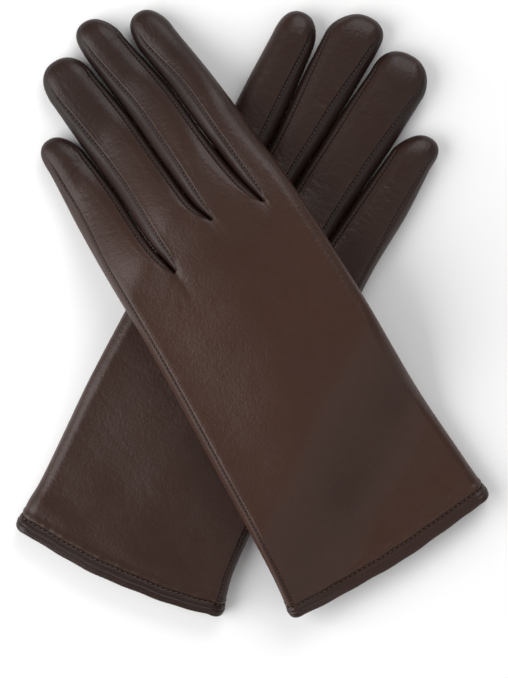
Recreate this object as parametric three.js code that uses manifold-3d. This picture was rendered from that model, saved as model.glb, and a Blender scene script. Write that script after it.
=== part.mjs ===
// A pair of lined leather dress gloves, laid one across the other with their backs up.
// Each glove is a leather hand (back and palm halves), fourchettes between the fingers, a thumb
// folded under the palm, a full lining and a hemmed cuff. Every finger bends at its middle
// knuckle and every thumb swings under its palm. Millimetres, +Z up, table at z = 0.
//
// Glove coordinates: h runs across the hand, positive towards the index finger; v runs from the
// cuff to the fingertips; w is the height over what the glove lies on.

import * as THREE from 'three';
import { mergeVertices } from 'three/addons/utils/BufferGeometryUtils.js';
import Module from 'manifold-3d';

const wasm = await Module();
wasm.setup();

// Driving dimensions

const LEATHER = 0.9;
const LINING = 0.8;
const GAP = 0.3;
const LINING_GAP = 0.6;
const LINING_OUT = LEATHER + LINING_GAP;
const LINING_IN = LINING_OUT + LINING;

const HEM_DEPTH = 4.6;
const HEM_PROUD = 0.3;
const HEM_WALL = LINING_IN + 0.2;

const CUFF_THICKNESS = 10.6;
const HAND_LENGTH = 150;
const HAND_THICKNESS = 13.0;
const FULL_THICKNESS_AT = 70;
const HAND_CROWN = 0.9;
const HAND_EDGE_RADIUS = 5.3;
const FINGER_THICKNESS = 12.4;
const FINGERTIP_THICKNESS = 11.0;
const FINGER_CROWN = 0.4;
const FINGER_EDGE_RADIUS = 5.2;
const FINGER_CAP = 11;
const FINGER_ROOT = 8;
const SLIT = 0.7;

const THUMB = {
  pivot: [20, 88],
  tip: [1, 147],
  thickness: 6.0,
  baseRadius: 12.5,
  waist: 9.6,
  cap: 13,
  neckRadius: 10.2,
};
const THUMB_CLEARANCE = 0.5;

// Where the palm rises over the folded thumb: across the hand, past the heel and at the fingers
const THUMB_BED = { across: [-30, -13], heel: [42, 68], fingers: [150, 174] };

const FLEX = 75;
const EXTEND = 15;
const KNUCKLE_GAP = 0.5;

const FOURCHETTE_LOW = 0.25;
const FOURCHETTE_HIGH = 0.75;
const FOURCHETTE_REACH = 3.0;
const FOURCHETTE_STOP = 13;

// How finely the shapes are divided

const EDGE_STEPS = 2;
const HAND_STEPS_ACROSS = 6;
const HAND_STEP = 16.4;
const FINGER_STEPS_ACROSS = 1;
const FINGER_STEP = 15.5;
const CAP_SHARES = [0, 0.6, 0.97];
const POST_SIDES = 12;
const BAND_STEPS = 3;

// The glove that lies on top bridges the one below it

const BRIDGE = {
  height: 13.9,
  palmExtra: 3.4,
  plateau: 42,
  foot: 86,
  lowerFrom: 150,
  lowerTo: 200,
};

// Outlines: [v, h] points, joined by smooth curves

const LEFT = {
  name: 'left',
  side: 1,
  cuff: [54.6, -96.35],
  lean: 30,
  onTop: true,
  thumbLift: 8.0,
  hemSag: 4.8,
  hemMiddle: -12,
  hemHalf: 58,
  littleEdge: [[0, -46.2], [22, -44.3], [60, -43.1], [120, -41.9], [165, -42.7], [205, -42.2]],
  indexEdge: [[0, 47.0], [22, 45.4], [60, 42.7], [100, 41.9], [140, 40.3], [181, 36.7], [225, 31.6]],
  slits: [
    [[141, -17.7], [155, -20.8], [180, -22.4], [205, -25.4]],
    [[150, 5.2], [160, 1.8], [181, -0.4], [205, -2.4], [228, -5.8]],
    [[148, 26.2], [160, 22.8], [181, 19.8], [205, 17.6], [226, 13.8]],
  ],
  tips: { little: [212.5, -35.3], ring: [238.7, -17.2], middle: [246.4, 1.2], index: [239.0, 21.8] },
};

const RIGHT = {
  name: 'right',
  side: -1,
  cuff: [-52.6, -102.75],
  lean: -26,
  onTop: false,
  thumbLift: 6.6,
  hemSag: 5.7,
  hemMiddle: 10,
  hemHalf: 52,
  littleEdge: [[0, -44.4], [20, -41.1], [60, -40.4], [110, -38.6], [150, -38.3], [180, -41.0], [205, -42.0]],
  indexEdge: [[0, 46.0], [20, 45.0], [60, 45.1], [100, 43.8], [150, 41.8], [190, 41.0], [226, 40.6]],
  slits: [
    [[143, -15.6], [160, -17.6], [180, -20.5], [200, -23.4]],
    [[150, 5.4], [170, 5.0], [190, 2.6], [210, 0.4], [230, -2.0]],
    [[148, 25.6], [165, 22.6], [185, 21.2], [222, 21.8]],
  ],
  tips: { little: [210.5, -35.2], ring: [237.0, -13.6], middle: [243.5, 7.6], index: [233.5, 32.0] },
};

const FINGERS = ['little', 'ring', 'middle', 'index'];
const KNUCKLE = { little: 176, ring: 190, middle: 196, index: 195 };
const CROTCHES = ['ring_little', 'middle_ring', 'index_middle'];

// Colours

const COLOURS = {
  back: 0x4a352e,
  palm: 0x3f2c26,
  fourchette: 0x35241f,
  hem: 0x2f201c,
  lining: 0x6b5648,
};

// Small helpers

const radians = THREE.MathUtils.degToRad;
const lerp = THREE.MathUtils.lerp;

function ease(value, from, to) {
  return THREE.MathUtils.smoothstep(value, from, to);
}

// Smooth curve h(v) through [v, h] points: cubic pieces whose slope at a point is that of its
// two neighbours, and straight beyond the ends.
function through(points) {
  const slopes = points.map((_, i) => {
    const before = points[Math.max(i - 1, 0)];
    const after = points[Math.min(i + 1, points.length - 1)];
    return (after[1] - before[1]) / (after[0] - before[0]);
  });
  return (v) => {
    const last = points.length - 1;
    if (v <= points[0][0]) return points[0][1] + slopes[0] * (v - points[0][0]);
    if (v >= points[last][0]) return points[last][1] + slopes[last] * (v - points[last][0]);
    const i = points.findIndex((p, k) => k < last && v <= points[k + 1][0]);
    const step = points[i + 1][0] - points[i][0];
    const t = (v - points[i][0]) / step;
    const a = points[i][1] * (2 * t ** 3 - 3 * t ** 2 + 1) + points[i + 1][1] * (3 * t ** 2 - 2 * t ** 3);
    return a + step * (slopes[i] * (t ** 3 - 2 * t ** 2 + t) + slopes[i + 1] * (t ** 3 - t ** 2));
  };
}

function direction(glove, side, along) {
  const lean = radians(glove.lean);
  const u = glove.side * side;
  return [u * Math.cos(lean) - along * Math.sin(lean), u * Math.sin(lean) + along * Math.cos(lean)];
}

function plan(glove, h, v) {
  const [x, y] = direction(glove, h, v);
  return [x + glove.cuff[0], y + glove.cuff[1]];
}

// Height of the glove below, as the glove on top meets it: a flat-topped ridge along the lower
// glove's axis that eases down to the table on both sides, lower towards its fingers.
function bridgeHeight(x, y) {
  const lean = radians(RIGHT.lean);
  const dx = x - RIGHT.cuff[0];
  const dy = y - RIGHT.cuff[1];
  const across = dx * Math.cos(lean) + dy * Math.sin(lean);
  const along = -dx * Math.sin(lean) + dy * Math.cos(lean);
  const palm = BRIDGE.palmExtra * (1 - ease(along, BRIDGE.lowerFrom, BRIDGE.lowerTo));
  return (BRIDGE.height + palm) * (1 - ease(Math.abs(across), BRIDGE.plateau, BRIDGE.foot));
}

function place(glove, h, v, w) {
  const [x, y] = plan(glove, h, v);
  const lift = glove.onTop ? bridgeHeight(x, y) : 0;
  return [x, y, w + lift];
}

// The palm rides up over the folded thumb; the back rises half as much.
function palmLift(glove, h, v) {
  const beside = ease(h, ...THUMB_BED.across);
  const along = ease(v, ...THUMB_BED.heel) * (1 - ease(v, ...THUMB_BED.fingers));
  return glove.thumbLift * beside * along;
}

// A point w above the palm's underside, with the thumb's lift shared out over the thickness.
function lifted(glove, h, v, w, thickness) {
  const share = THREE.MathUtils.clamp(w / thickness, 0, 1);
  return place(glove, h, v, w + palmLift(glove, h, v) * (1 - 0.5 * share));
}

// Solids

function solidOf(positions, triangles, flip) {
  const wound = flip ? triangles.map(([a, b, c]) => [a, c, b]) : triangles;
  return new wasm.Manifold(
    new wasm.Mesh({
      numProp: 3,
      vertProperties: new Float32Array(positions.flat()),
      triVerts: new Uint32Array(wound.flat()),
    }),
  );
}

// Triangles that close one ring: a zigzag between its underside and its top, left to right.
function zipCap(first, count) {
  const triangles = [];
  let low = 0;
  let high = count - 1;
  while (high - low >= 2) {
    triangles.push([first + low + 1, first + low, first + high]);
    low += 1;
    if (high - low < 2) break;
    triangles.push([first + low, first + high, first + high - 1]);
    high -= 1;
  }
  return triangles;
}

// Closed solid through a row of closed rings with the same number of points each.
function loft(rings, flip) {
  const count = rings[0].length;
  const triangles = [];
  for (let r = 0; r + 1 < rings.length; r += 1) {
    for (let i = 0; i < count; i += 1) {
      const a = r * count + i;
      const b = r * count + ((i + 1) % count);
      triangles.push([b, a, b + count], [b + count, a, a + count]);
    }
  }
  triangles.push(...zipCap(0, count).map(([a, b, c]) => [a, c, b]));
  triangles.push(...zipCap((rings.length - 1) * count, count));
  return solidOf(rings.flat(), triangles, flip);
}

function fromGeometry(geometry) {
  geometry.deleteAttribute('normal');
  geometry.deleteAttribute('uv');
  const merged = mergeVertices(geometry, 1e-4);
  return new wasm.Manifold(
    new wasm.Mesh({
      numProp: 3,
      vertProperties: new Float32Array(merged.attributes.position.array),
      triVerts: new Uint32Array(merged.index.array),
    }),
  );
}

function join(solids) {
  return solids.reduce((whole, next) => whole.add(next));
}

// Ring of a flattened tube from left to right: flat underneath, round edges, crowned on top.
// point(s, w) is called with s = -1...1 across and w = the height over the underside.
function slabRing(shape, flats, point) {
  const { left, right, thickness, radius, crown, inset } = shape;
  const centre = (left + right) / 2;
  const half = (right - left) / 2 - inset;
  const high = thickness / 2 - inset;
  const bend = Math.min(Math.max(radius - inset, 0.4), high, half);
  const flat = half - bend;
  const floor = Math.max(inset, 0);
  const ring = [];
  for (let i = 0; i < flats; i += 1) {
    ring.push([centre + flat * (-1 + (2 * i) / flats), floor]);
  }
  for (let i = 0; i < EDGE_STEPS; i += 1) {
    const a = (-0.5 + i / EDGE_STEPS) * Math.PI;
    ring.push([centre + flat + bend * Math.cos(a), Math.max(inset + high * (1 + Math.sin(a)), floor)]);
  }
  for (let i = 0; i < flats; i += 1) {
    const s = 1 - (2 * i) / flats;
    ring.push([centre + flat * s, inset + 2 * high + crown * (1 - s * s)]);
  }
  for (let i = 0; i < EDGE_STEPS; i += 1) {
    const a = (0.5 + i / EDGE_STEPS) * Math.PI;
    ring.push([centre - flat + bend * Math.cos(a), inset + high * (1 + Math.sin(a))]);
  }
  return ring.map(([h, w]) => point(h, w));
}

// The hand without its fingers, from `from` millimetres past the cuff edge, every wall moved
// inwards by `inset`.
function handSolid(glove, inset, from, to = null) {
  const little = through(glove.littleEdge);
  const index = through(glove.indexEdge);
  const crotchLine = through([
    [glove.littleEdge[2][1], glove.slits[0][0][0] - 3],
    [glove.slits[0][0][1], glove.slits[0][0][0]],
    [glove.slits[1][0][1], glove.slits[1][0][0]],
    [glove.slits[2][0][1], glove.slits[2][0][0]],
    [glove.indexEdge[2][1], glove.slits[2][0][0] - 3],
  ]);
  const hem = (h) => glove.hemSag * (((h - glove.hemMiddle) / glove.hemHalf) ** 2 - 1);
  const end = to ?? HAND_LENGTH - inset;
  const stations = [from];
  for (let q = HAND_STEP; q < end - 2; q += HAND_STEP) if (q > from + 2) stations.push(q);
  stations.push(end);
  const rings = stations.map((q) => {
    const shape = {
      left: little(q),
      right: index(q),
      thickness: lerp(CUFF_THICKNESS, HAND_THICKNESS, ease(q, 0, FULL_THICKNESS_AT)),
      radius: HAND_EDGE_RADIUS,
      crown: HAND_CROWN,
      inset,
    };
    return slabRing(shape, HAND_STEPS_ACROSS, (h, w) => {
      const v = lerp(hem(h), crotchLine(h), q / HAND_LENGTH);
      return lifted(glove, h, v, w, shape.thickness);
    });
  });
  return loft(rings, glove.side < 0);
}

// The two long edges of a finger, as functions of v.
function fingerEdges(glove, finger) {
  const i = FINGERS.indexOf(finger);
  const low = i === 0 ? through(glove.littleEdge) : through(glove.slits[i - 1]);
  const high = i === 3 ? through(glove.indexEdge) : through(glove.slits[i]);
  return [(v) => low(v) + SLIT / 2, (v) => high(v) - SLIT / 2];
}

// A whole finger from its root inside the hand to its rounded tip.
function fingerShape(glove, finger, v, inset) {
  const [littleEdge, indexEdge] = fingerEdges(glove, finger);
  const [tip, tipCentre] = glove.tips[finger];
  const capStart = tip - FINGER_CAP;
  const past = Math.max(v - capStart, 0) / (FINGER_CAP - inset);
  const closing = Math.sqrt(Math.max(1 - past * past, 0));
  const base = Math.min(v, capStart);
  const straight = (littleEdge(base) + indexEdge(base)) / 2;
  const centre = lerp(straight, tipCentre, ease(v, capStart, tip));
  const half = Math.max((indexEdge(base) - littleEdge(base)) / 2 - inset, 1) * closing;
  const full = lerp(FINGER_THICKNESS, FINGERTIP_THICKNESS, ease(v, HAND_LENGTH, tip));
  const high = Math.max((full / 2 - inset) * closing, 0.2);
  return { centre, half, high, middle: full / 2 };
}

function fingerSolid(glove, finger, inset) {
  const root = Math.min(...glove.slits.map((s) => s[0][0])) - FINGER_ROOT;
  const tip = glove.tips[finger][0] - inset;
  const capStart = glove.tips[finger][0] - FINGER_CAP;
  const stations = [];
  for (let v = root; v < capStart - 3; v += FINGER_STEP) stations.push(v);
  for (const share of CAP_SHARES) stations.push(lerp(capStart, tip, share));
  const rings = stations.map((v) => {
    const s = fingerShape(glove, finger, v, inset);
    const shape = {
      left: s.centre - s.half,
      right: s.centre + s.half,
      thickness: 2 * s.high,
      radius: FINGER_EDGE_RADIUS,
      crown: FINGER_CROWN * Math.min(s.high / 5, 1),
      inset: 0,
    };
    return slabRing(shape, FINGER_STEPS_ACROSS, (h, w) => {
      return lifted(glove, h, v, w + s.middle - s.high, FINGER_THICKNESS);
    });
  });
  return loft(rings, glove.side < 0);
}

// The knuckle's hinge: its centre, the direction of the finger and the axis across it.
function knuckle(glove, finger) {
  const v = KNUCKLE[finger];
  const [low, high] = fingerEdges(glove, finger);
  const centre = (at) => (low(at) + high(at)) / 2;
  const near = plan(glove, centre(v - 6), v - 6);
  const far = plan(glove, centre(v + 6), v + 6);
  const forward = new THREE.Vector3(far[0] - near[0], far[1] - near[1], 0).normalize();
  const across = new THREE.Vector3(forward.y, -forward.x, 0);
  const height = FINGER_THICKNESS / 2 + 0.75 * palmLift(glove, centre(v), v);
  const position = new THREE.Vector3(...place(glove, centre(v), v, height));
  return { position, forward, across };
}

// Everything past the knuckle's V-shaped gap (or, with sign -1, everything before it), as one
// prism across the finger.
function pastKnuckle(glove, finger, sign, clear) {
  const { position, forward, across } = knuckle(glove, finger);
  const reach = 30;
  const long = 110;
  const palmSlope = Math.tan(radians(FLEX / 2));
  const backSlope = Math.tan(radians(EXTEND / 2));
  const outline = new THREE.Shape([
    new THREE.Vector2(sign * clear, 0),
    new THREE.Vector2(sign * (clear + palmSlope * reach), -reach),
    new THREE.Vector2(sign * long, -reach),
    new THREE.Vector2(sign * long, reach),
    new THREE.Vector2(sign * (clear + backSlope * reach), reach),
  ]);
  const halfWidth = 16;
  const prism = new THREE.ExtrudeGeometry(outline, { depth: 2 * halfWidth, bevelEnabled: false });
  prism.translate(0, 0, -halfWidth);
  const up = new THREE.Vector3(0, 0, 1);
  prism.applyMatrix4(new THREE.Matrix4().makeBasis(forward, up, across));
  prism.translate(position.x, position.y, position.z);
  return fromGeometry(prism);
}

// Band down both sides of a slit and round its crotch, where a fourchette is sewn in. `trim`
// makes the band that much smaller all round.
function slitBand(glove, crotch, trim) {
  const slit = through(glove.slits[crotch]);
  const start = glove.slits[crotch][0][0] - 2.5 + trim;
  const stop = KNUCKLE[FINGERS[crotch + 1]] + 6;
  const rings = [];
  for (let i = 0; i <= BAND_STEPS; i += 1) {
    const v = lerp(start, stop, i / BAND_STEPS);
    const half = SLIT / 2 + FOURCHETTE_REACH - trim;
    const low = FINGER_THICKNESS * FOURCHETTE_LOW + trim;
    const high = FINGER_THICKNESS * FOURCHETTE_HIGH - trim;
    const corners = [[-half, low], [half, low], [half, high], [-half, high]];
    rings.push(corners.map(([side, w]) => lifted(glove, slit(v) + side, v, w, FINGER_THICKNESS)));
  }
  return loft(rings, glove.side < 0);
}

// Band along one side of a finger where its fourchette is sewn in. `side` is -1 towards the
// little finger and +1 towards the index; `trim` makes the band that much smaller all round.
function fourchetteBand(glove, finger, side, trim) {
  const start = KNUCKLE[finger] - 6;
  const stop = glove.tips[finger][0] - FOURCHETTE_STOP - trim;
  const rings = [];
  for (let i = 0; i <= BAND_STEPS; i += 1) {
    const v = lerp(start, stop, i / BAND_STEPS);
    const s = fingerShape(glove, finger, v, 0);
    const narrow = 1 - 0.7 * ease(v, stop - 14, stop);
    const outer = s.centre + side * (s.half + SLIT / 2 + 0.02);
    const inner = s.centre + side * (s.half - FOURCHETTE_REACH + trim);
    const full = 2 * s.high;
    const low = s.middle + full * (FOURCHETTE_LOW - 0.5) * narrow + trim;
    const high = s.middle + full * (FOURCHETTE_HIGH - 0.5) * narrow - trim;
    const corners = [[inner, low], [outer, low], [outer, high], [inner, high]];
    const ordered = side > 0 ? corners : corners.reverse();
    rings.push(ordered.map(([h, w]) => lifted(glove, h, v, w, FINGER_THICKNESS)));
  }
  return loft(rings, glove.side < 0);
}

// Everything above the middle height of the hand, moved up by `shift`: its underside is where
// the side seam and the index-side fold run.
function upperHalf(glove, shift) {
  const roof = 60;
  const wide = 70;
  const seam = HAND_THICKNESS / 2 - 0.3 + shift;
  const rings = [];
  for (let v = -14; v <= 220; v += 18) {
    const ring = [-wide, -42, -14, 14, 42, wide].map((h) => {
      return place(glove, h, v, seam + 0.75 * palmLift(glove, h, v));
    });
    ring.push([...plan(glove, wide, v), roof], [...plan(glove, -wide, v), roof]);
    rings.push(ring);
  }
  return loft(rings, glove.side < 0);
}

// Thumb

function thumbFrame(glove) {
  const [h, v] = THUMB.pivot;
  const [x, y] = plan(glove, h, v);
  const [dx, dy] = direction(glove, THUMB.tip[0] - h, THUMB.tip[1] - v);
  const length = Math.hypot(dx, dy);
  const base = glove.onTop ? bridgeHeight(x, y) + THUMB_CLEARANCE : 0;
  return { x, y, base, length, forward: [dx / length, dy / length] };
}

// The thumb lies flat: a round base about its pivot, a slightly waisted shaft, a rounded tip.
function thumbSolid(glove, inset) {
  const frame = thumbFrame(glove);
  const end = frame.length - inset;
  const stations = [-0.98, -0.75, -0.4, 0].map((s) => s * (THUMB.baseRadius - inset));
  for (const share of [0.35, 0.7, 1]) stations.push(share * (frame.length - THUMB.cap));
  const capStart = frame.length - THUMB.cap;
  for (const share of CAP_SHARES.slice(1)) stations.push(lerp(capStart, end, share));
  const rings = stations.map((s) => {
    const radius = THUMB.baseRadius - inset;
    const back = s < 0 ? Math.sqrt(Math.max(1 - (s / radius) ** 2, 0.002)) : 1;
    const past = Math.max(s - capStart, 0) / (end - capStart);
    const closing = Math.min(back, Math.sqrt(1 - past * past));
    const width = lerp(THUMB.baseRadius, THUMB.waist, ease(s, 0, 30)) - inset;
    const high = Math.max((THUMB.thickness / 2 - inset) * closing, 0.15);
    const shape = {
      left: -width * closing,
      right: width * closing,
      thickness: 2 * high,
      radius: THUMB.thickness / 2 - inset,
      crown: 0,
      inset: 0,
    };
    return slabRing(shape, FINGER_STEPS_ACROSS, (across, w) => {
      const x = frame.x + frame.forward[0] * s + frame.forward[1] * across;
      const y = frame.y + frame.forward[1] * s - frame.forward[0] * across;
      return [x, y, frame.base + w + THUMB.thickness / 2 - high];
    });
  });
  return loft(rings, false);
}

// Upright round post about the thumb's pivot.
function post(glove, radius, low, high) {
  const frame = thumbFrame(glove);
  const shape = new THREE.CylinderGeometry(radius, radius, high - low, POST_SIDES);
  shape.rotateX(Math.PI / 2);
  shape.translate(frame.x, frame.y, frame.base + (low + high) / 2);
  return fromGeometry(shape);
}

function thumbPieces(glove) {
  const roof = THUMB.thickness;
  const palm = glove.thumbLift + LEATHER;
  const neck = THUMB.neckRadius;
  const leather = thumbSolid(glove, 0)
    .add(post(glove, neck, roof / 2, palm))
    .subtract(thumbSolid(glove, LEATHER))
    .subtract(post(glove, neck - LEATHER, roof / 2, palm + 5));
  const lining = thumbSolid(glove, LINING_OUT)
    .add(post(glove, neck - LINING_OUT, roof / 2, palm + 0.6))
    .subtract(thumbSolid(glove, LINING_IN))
    .subtract(post(glove, neck - LINING_IN, roof / 2, palm + 6));
  return { leather, lining };
}

// The hand with the first half of its fingers, as a shell between two insets, from the cuff to
// the knuckle gaps.
function handShell(glove, outer, inner, from) {
  const prongs = FINGERS.map((finger) =>
    fingerSolid(glove, finger, outer).intersect(pastKnuckle(glove, finger, -1, KNUCKLE_GAP)),
  );
  const cavities = FINGERS.map((finger) => fingerSolid(glove, finger, inner));
  const outside = join([handSolid(glove, outer, from), ...prongs]);
  const inside = join([handSolid(glove, inner, from - 4), ...cavities]);
  return outside.subtract(inside).subtract(post(glove, THUMB.neckRadius + 0.4, -3, glove.thumbLift + 5));
}

function fingerShell(glove, finger, outer, inner) {
  return fingerSolid(glove, finger, outer)
    .intersect(pastKnuckle(glove, finger, 1, KNUCKLE_GAP))
    .subtract(fingerSolid(glove, finger, inner));
}

// Assembly

const gloves = new THREE.Group();

function finish(colour, roughness) {
  return new THREE.MeshStandardMaterial({ color: colour, roughness, metalness: 0 });
}

function addPiece(name, solid, colour, roughness = 0.5) {
  const { vertProperties, triVerts } = solid.getMesh();
  const geometry = new THREE.BufferGeometry();
  geometry.setAttribute('position', new THREE.BufferAttribute(new Float32Array(vertProperties), 3));
  geometry.setIndex(new THREE.BufferAttribute(new Uint32Array(triVerts), 1));
  const mesh = new THREE.Mesh(geometry, finish(colour, roughness));
  mesh.name = name;
  gloves.add(mesh);
}

// A finger has a fourchette on each side that faces another finger.
function sidesWithFourchettes(finger) {
  if (finger === 'little') return [1];
  if (finger === 'index') return [-1];
  return [-1, 1];
}

function addHand(glove) {
  const shell = handShell(glove, 0, LEATHER, HEM_DEPTH + GAP);
  const slots = CROTCHES.map((_, i) => slitBand(glove, i, 0));
  const trank = shell.subtract(join(slots));
  addPiece(`${glove.name}_back`, trank.intersect(upperHalf(glove, GAP / 2)), COLOURS.back);
  addPiece(`${glove.name}_palm`, trank.subtract(upperHalf(glove, -GAP / 2)), COLOURS.palm);
  CROTCHES.forEach((crotch, i) => {
    const strip = shell.intersect(slitBand(glove, i, GAP / 2));
    addPiece(`${glove.name}_fourchette_${crotch}`, strip, COLOURS.fourchette);
  });
  addPiece(
    `${glove.name}_lining_hand`,
    handShell(glove, LINING_OUT, LINING_IN, HEM_DEPTH + GAP),
    COLOURS.lining,
    0.9,
  );
  const hem = handSolid(glove, -HEM_PROUD, 0, HEM_DEPTH).subtract(handSolid(glove, HEM_WALL, -4, 12));
  addPiece(`${glove.name}_cuff_hem`, hem, COLOURS.hem);
}

function addFingerEnds(glove, finger) {
  const shell = fingerShell(glove, finger, 0, LEATHER);
  const sides = sidesWithFourchettes(finger);
  const slots = join(sides.map((side) => fourchetteBand(glove, finger, side, 0)));
  addPiece(`${glove.name}_${finger}_end`, shell.subtract(slots), COLOURS.back);
  for (const side of sides) {
    const strip = shell.intersect(fourchetteBand(glove, finger, side, GAP / 2));
    const label = side < 0 ? 'little_side' : 'index_side';
    addPiece(`${glove.name}_${finger}_fourchette_${label}`, strip, COLOURS.fourchette);
  }
  const lining = fingerShell(glove, finger, LINING_OUT, LINING_IN);
  addPiece(`${glove.name}_${finger}_lining_end`, lining, COLOURS.lining, 0.9);
}

function addThumb(glove) {
  const { leather, lining } = thumbPieces(glove);
  addPiece(`${glove.name}_thumb`, leather, COLOURS.palm);
  addPiece(`${glove.name}_thumb_lining`, lining, COLOURS.lining, 0.9);
}

for (const glove of [RIGHT, LEFT]) {
  addHand(glove);
  for (const finger of FINGERS) addFingerEnds(glove, finger);
  addThumb(glove);
}

export default gloves;
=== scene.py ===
import math

import bpy
import numpy as np
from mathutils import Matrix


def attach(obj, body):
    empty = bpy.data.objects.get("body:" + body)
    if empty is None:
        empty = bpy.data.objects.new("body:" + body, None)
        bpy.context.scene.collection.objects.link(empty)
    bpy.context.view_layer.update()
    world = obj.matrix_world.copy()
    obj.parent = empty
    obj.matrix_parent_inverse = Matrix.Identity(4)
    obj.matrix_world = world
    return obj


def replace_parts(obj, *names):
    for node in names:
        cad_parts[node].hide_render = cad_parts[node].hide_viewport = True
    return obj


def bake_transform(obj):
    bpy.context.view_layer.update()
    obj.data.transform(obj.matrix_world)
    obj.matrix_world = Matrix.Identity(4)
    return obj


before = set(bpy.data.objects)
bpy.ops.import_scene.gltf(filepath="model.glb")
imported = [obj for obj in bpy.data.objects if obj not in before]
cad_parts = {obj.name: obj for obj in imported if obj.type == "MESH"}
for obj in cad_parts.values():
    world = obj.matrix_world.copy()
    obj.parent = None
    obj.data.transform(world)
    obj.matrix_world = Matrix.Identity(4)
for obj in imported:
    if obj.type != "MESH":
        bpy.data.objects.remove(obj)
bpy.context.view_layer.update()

# A pair of lined leather dress gloves, one laid across the other with their backs up.
#
# Lengths in this script are millimetres until a mesh is written, which is in metres. Glove
# coordinates: h runs across the hand, positive towards the index finger; v runs from the cuff
# to the fingertips; w is the height over what the glove lies on.

MM = 0.001

# Driving dimensions: lengths and depths in millimetres, angles in degrees -----------------------

LEATHER = 0.9
LINING = 0.8
LINING_OUT = 1.5

HEM_DEPTH = 4.6
HEM_LINE = 2.2
HEM_LINE_DEPTH = 0.28
HEM_SWELL = 0.62
HEM_TUCK = 0.35
HEM_GROOVE = 0.45
HEM_PUCKERS = 0.34
HEM_ROLL = 0.55
CUFF_THICKNESS = 10.6
CUFF_CORNER = 2.6
CORNER_REACH = 14
HAND_THICKNESS = 13.0
FULL_THICKNESS_AT = 70
HAND_CROWN = 0.9
FINGER_THICKNESS = 12.4
FINGERTIP_THICKNESS = 10.6
FINGER_CROWN = 0.9
EDGE = 5.3
FINGER_EDGE = 8.2
FINGER_CAP = 13
TIP_TAPER = 0.07
TIP_POWER = 2.25
HAND_LENGTH = 150
SLIT = 0.12
CROTCH_EDGE = 0.25
EDGE_SETTLES = 12
SEAM_SETTLES = 8
CROWN_GROWS = 24
ROWS_LEVEL_AFTER = 34
FINGERS_FELT_FROM = 100
KNUCKLES = 150

SEAM_DIVE = 0.5
SEAM_BEAD = 0.13
SEAM_REACH = 1.1
SIDE_SEAM_ANGLE = 60
SLIT_SEAM_ANGLES = (67, 46)
SEAM_FADES_AT = 10
SEAMS_SINK = 0.25
STITCH_PITCH = 1.7
HEM_PITCH = 2.2
STITCH_STANDS = 0.3

# The folded thumb: its pivot and tip as (h, v), its half widths at the base and the waist, the
# length of its rounded end, the radius of its collar and how high it lies over what is below
THUMB = {
    "pivot": (20, 88), "tip": (1, 147), "thickness": 6.0,
    "base": 12.5, "waist": 9.6, "cap": 13, "neck": 10.2, "clearance": 0.5,
}
# Where the palm and the back ease up and down over the thumb, and with what share of its height
PALM_RISE = {"share": 1.0, "aside": (-30, -13), "up": (42, 68), "down": (150, 174)}
BACK_RISE = {"share": 0.5, "aside": (-50, 6), "up": (18, 92), "down": (138, 186)}
# What the upper glove lies over: the height of the lower glove's fingers, what its palm adds, the
# half widths of the ridge's flat top and foot, and between which distances the palm's part ends
BRIDGE = {"height": 13.9, "palm": 3.4, "plateau": 42, "foot": 86, "from": 150, "to": 200}

FINGER_CREASES = 34
TIP_PUCKERS = 7
CROTCH_CREASES = 10
HAND_CREASES = 34
LENGTHWISE = 1.57
SWELL = 0.14
VALLEY_DEPTH = 0.7
VALLEY_WIDTH = 1.3
VALLEY_BEFORE = 6
VALLEY_AFTER = 8

FINGERS = ["little", "ring", "middle", "index"]

# Each glove: its cuff's middle on the table and its lean, the rise over its thumb, the bow of its
# hem (depth, middle, half width), hollows (h, v, size, depth), and its outlines, slits and tips as
# (v, h) points. A slit begins at its crotch.

LEFT = {
    "name": "left", "side": 1, "cuff": (54.6, -96.35), "lean": 30, "on_top": True,
    "thumb_lift": 8.0, "hem": (4.8, -12, 58), "seed": 4,
    "dents": [
        (34, 46, 7, 0.9), (2, 24, 11, 1.1), (-24, 30, 10, 0.6), (12, 58, 13, 0.7), (30, 18, 8, 0.6),
    ],
    "little_edge": [
        (0, -46.2), (22, -44.3), (60, -43.1), (120, -41.9), (165, -42.7), (205, -42.2),
    ],
    "index_edge": [
        (0, 47.0), (22, 45.4), (60, 42.7), (100, 41.9), (140, 40.3), (181, 36.7), (225, 31.6),
    ],
    "slits": [
        [(139.2, -17.5), (155, -20.8), (180, -22.4), (205, -25.4)],
        [(150, 5.2), (160, 1.8), (181, -0.4), (205, -2.4), (228, -5.8)],
        [(146.2, 26.4), (160, 22.8), (181, 19.8), (205, 17.6), (226, 13.8)],
    ],
    "tips": {
        "little": (212.5, -35.3), "ring": (238.7, -17.2),
        "middle": (246.4, 1.2), "index": (239.0, 21.8),
    },
}
RIGHT = {
    "name": "right", "side": -1, "cuff": (-52.6, -102.75), "lean": -26, "on_top": False,
    "thumb_lift": 6.6, "hem": (5.7, 10, 52), "seed": 9,
    "dents": [(14, 30, 13, 0.5), (-16, 26, 12, 0.6), (30, 52, 14, 0.4)],
    "little_edge": [
        (0, -44.4), (20, -41.1), (60, -40.4), (110, -38.6), (150, -38.3), (180, -41.0), (205, -42.0),
    ],
    "index_edge": [
        (0, 46.0), (20, 45.0), (60, 45.1), (100, 43.8), (150, 41.8), (190, 41.0), (226, 40.6),
    ],
    "slits": [
        [(143, -15.6), (160, -17.6), (180, -20.5), (200, -23.4)],
        [(150, 5.4), (170, 5.0), (190, 2.6), (210, 0.4), (230, -2.0)],
        [(148, 25.6), (165, 22.6), (185, 21.2), (222, 21.8)],
    ],
    "tips": {
        "little": (210.5, -35.2), "ring": (237.0, -13.6),
        "middle": (243.5, 7.6), "index": (233.5, 32.0),
    },
}

# How finely the surfaces are divided ----------------------------------------------------------

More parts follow.
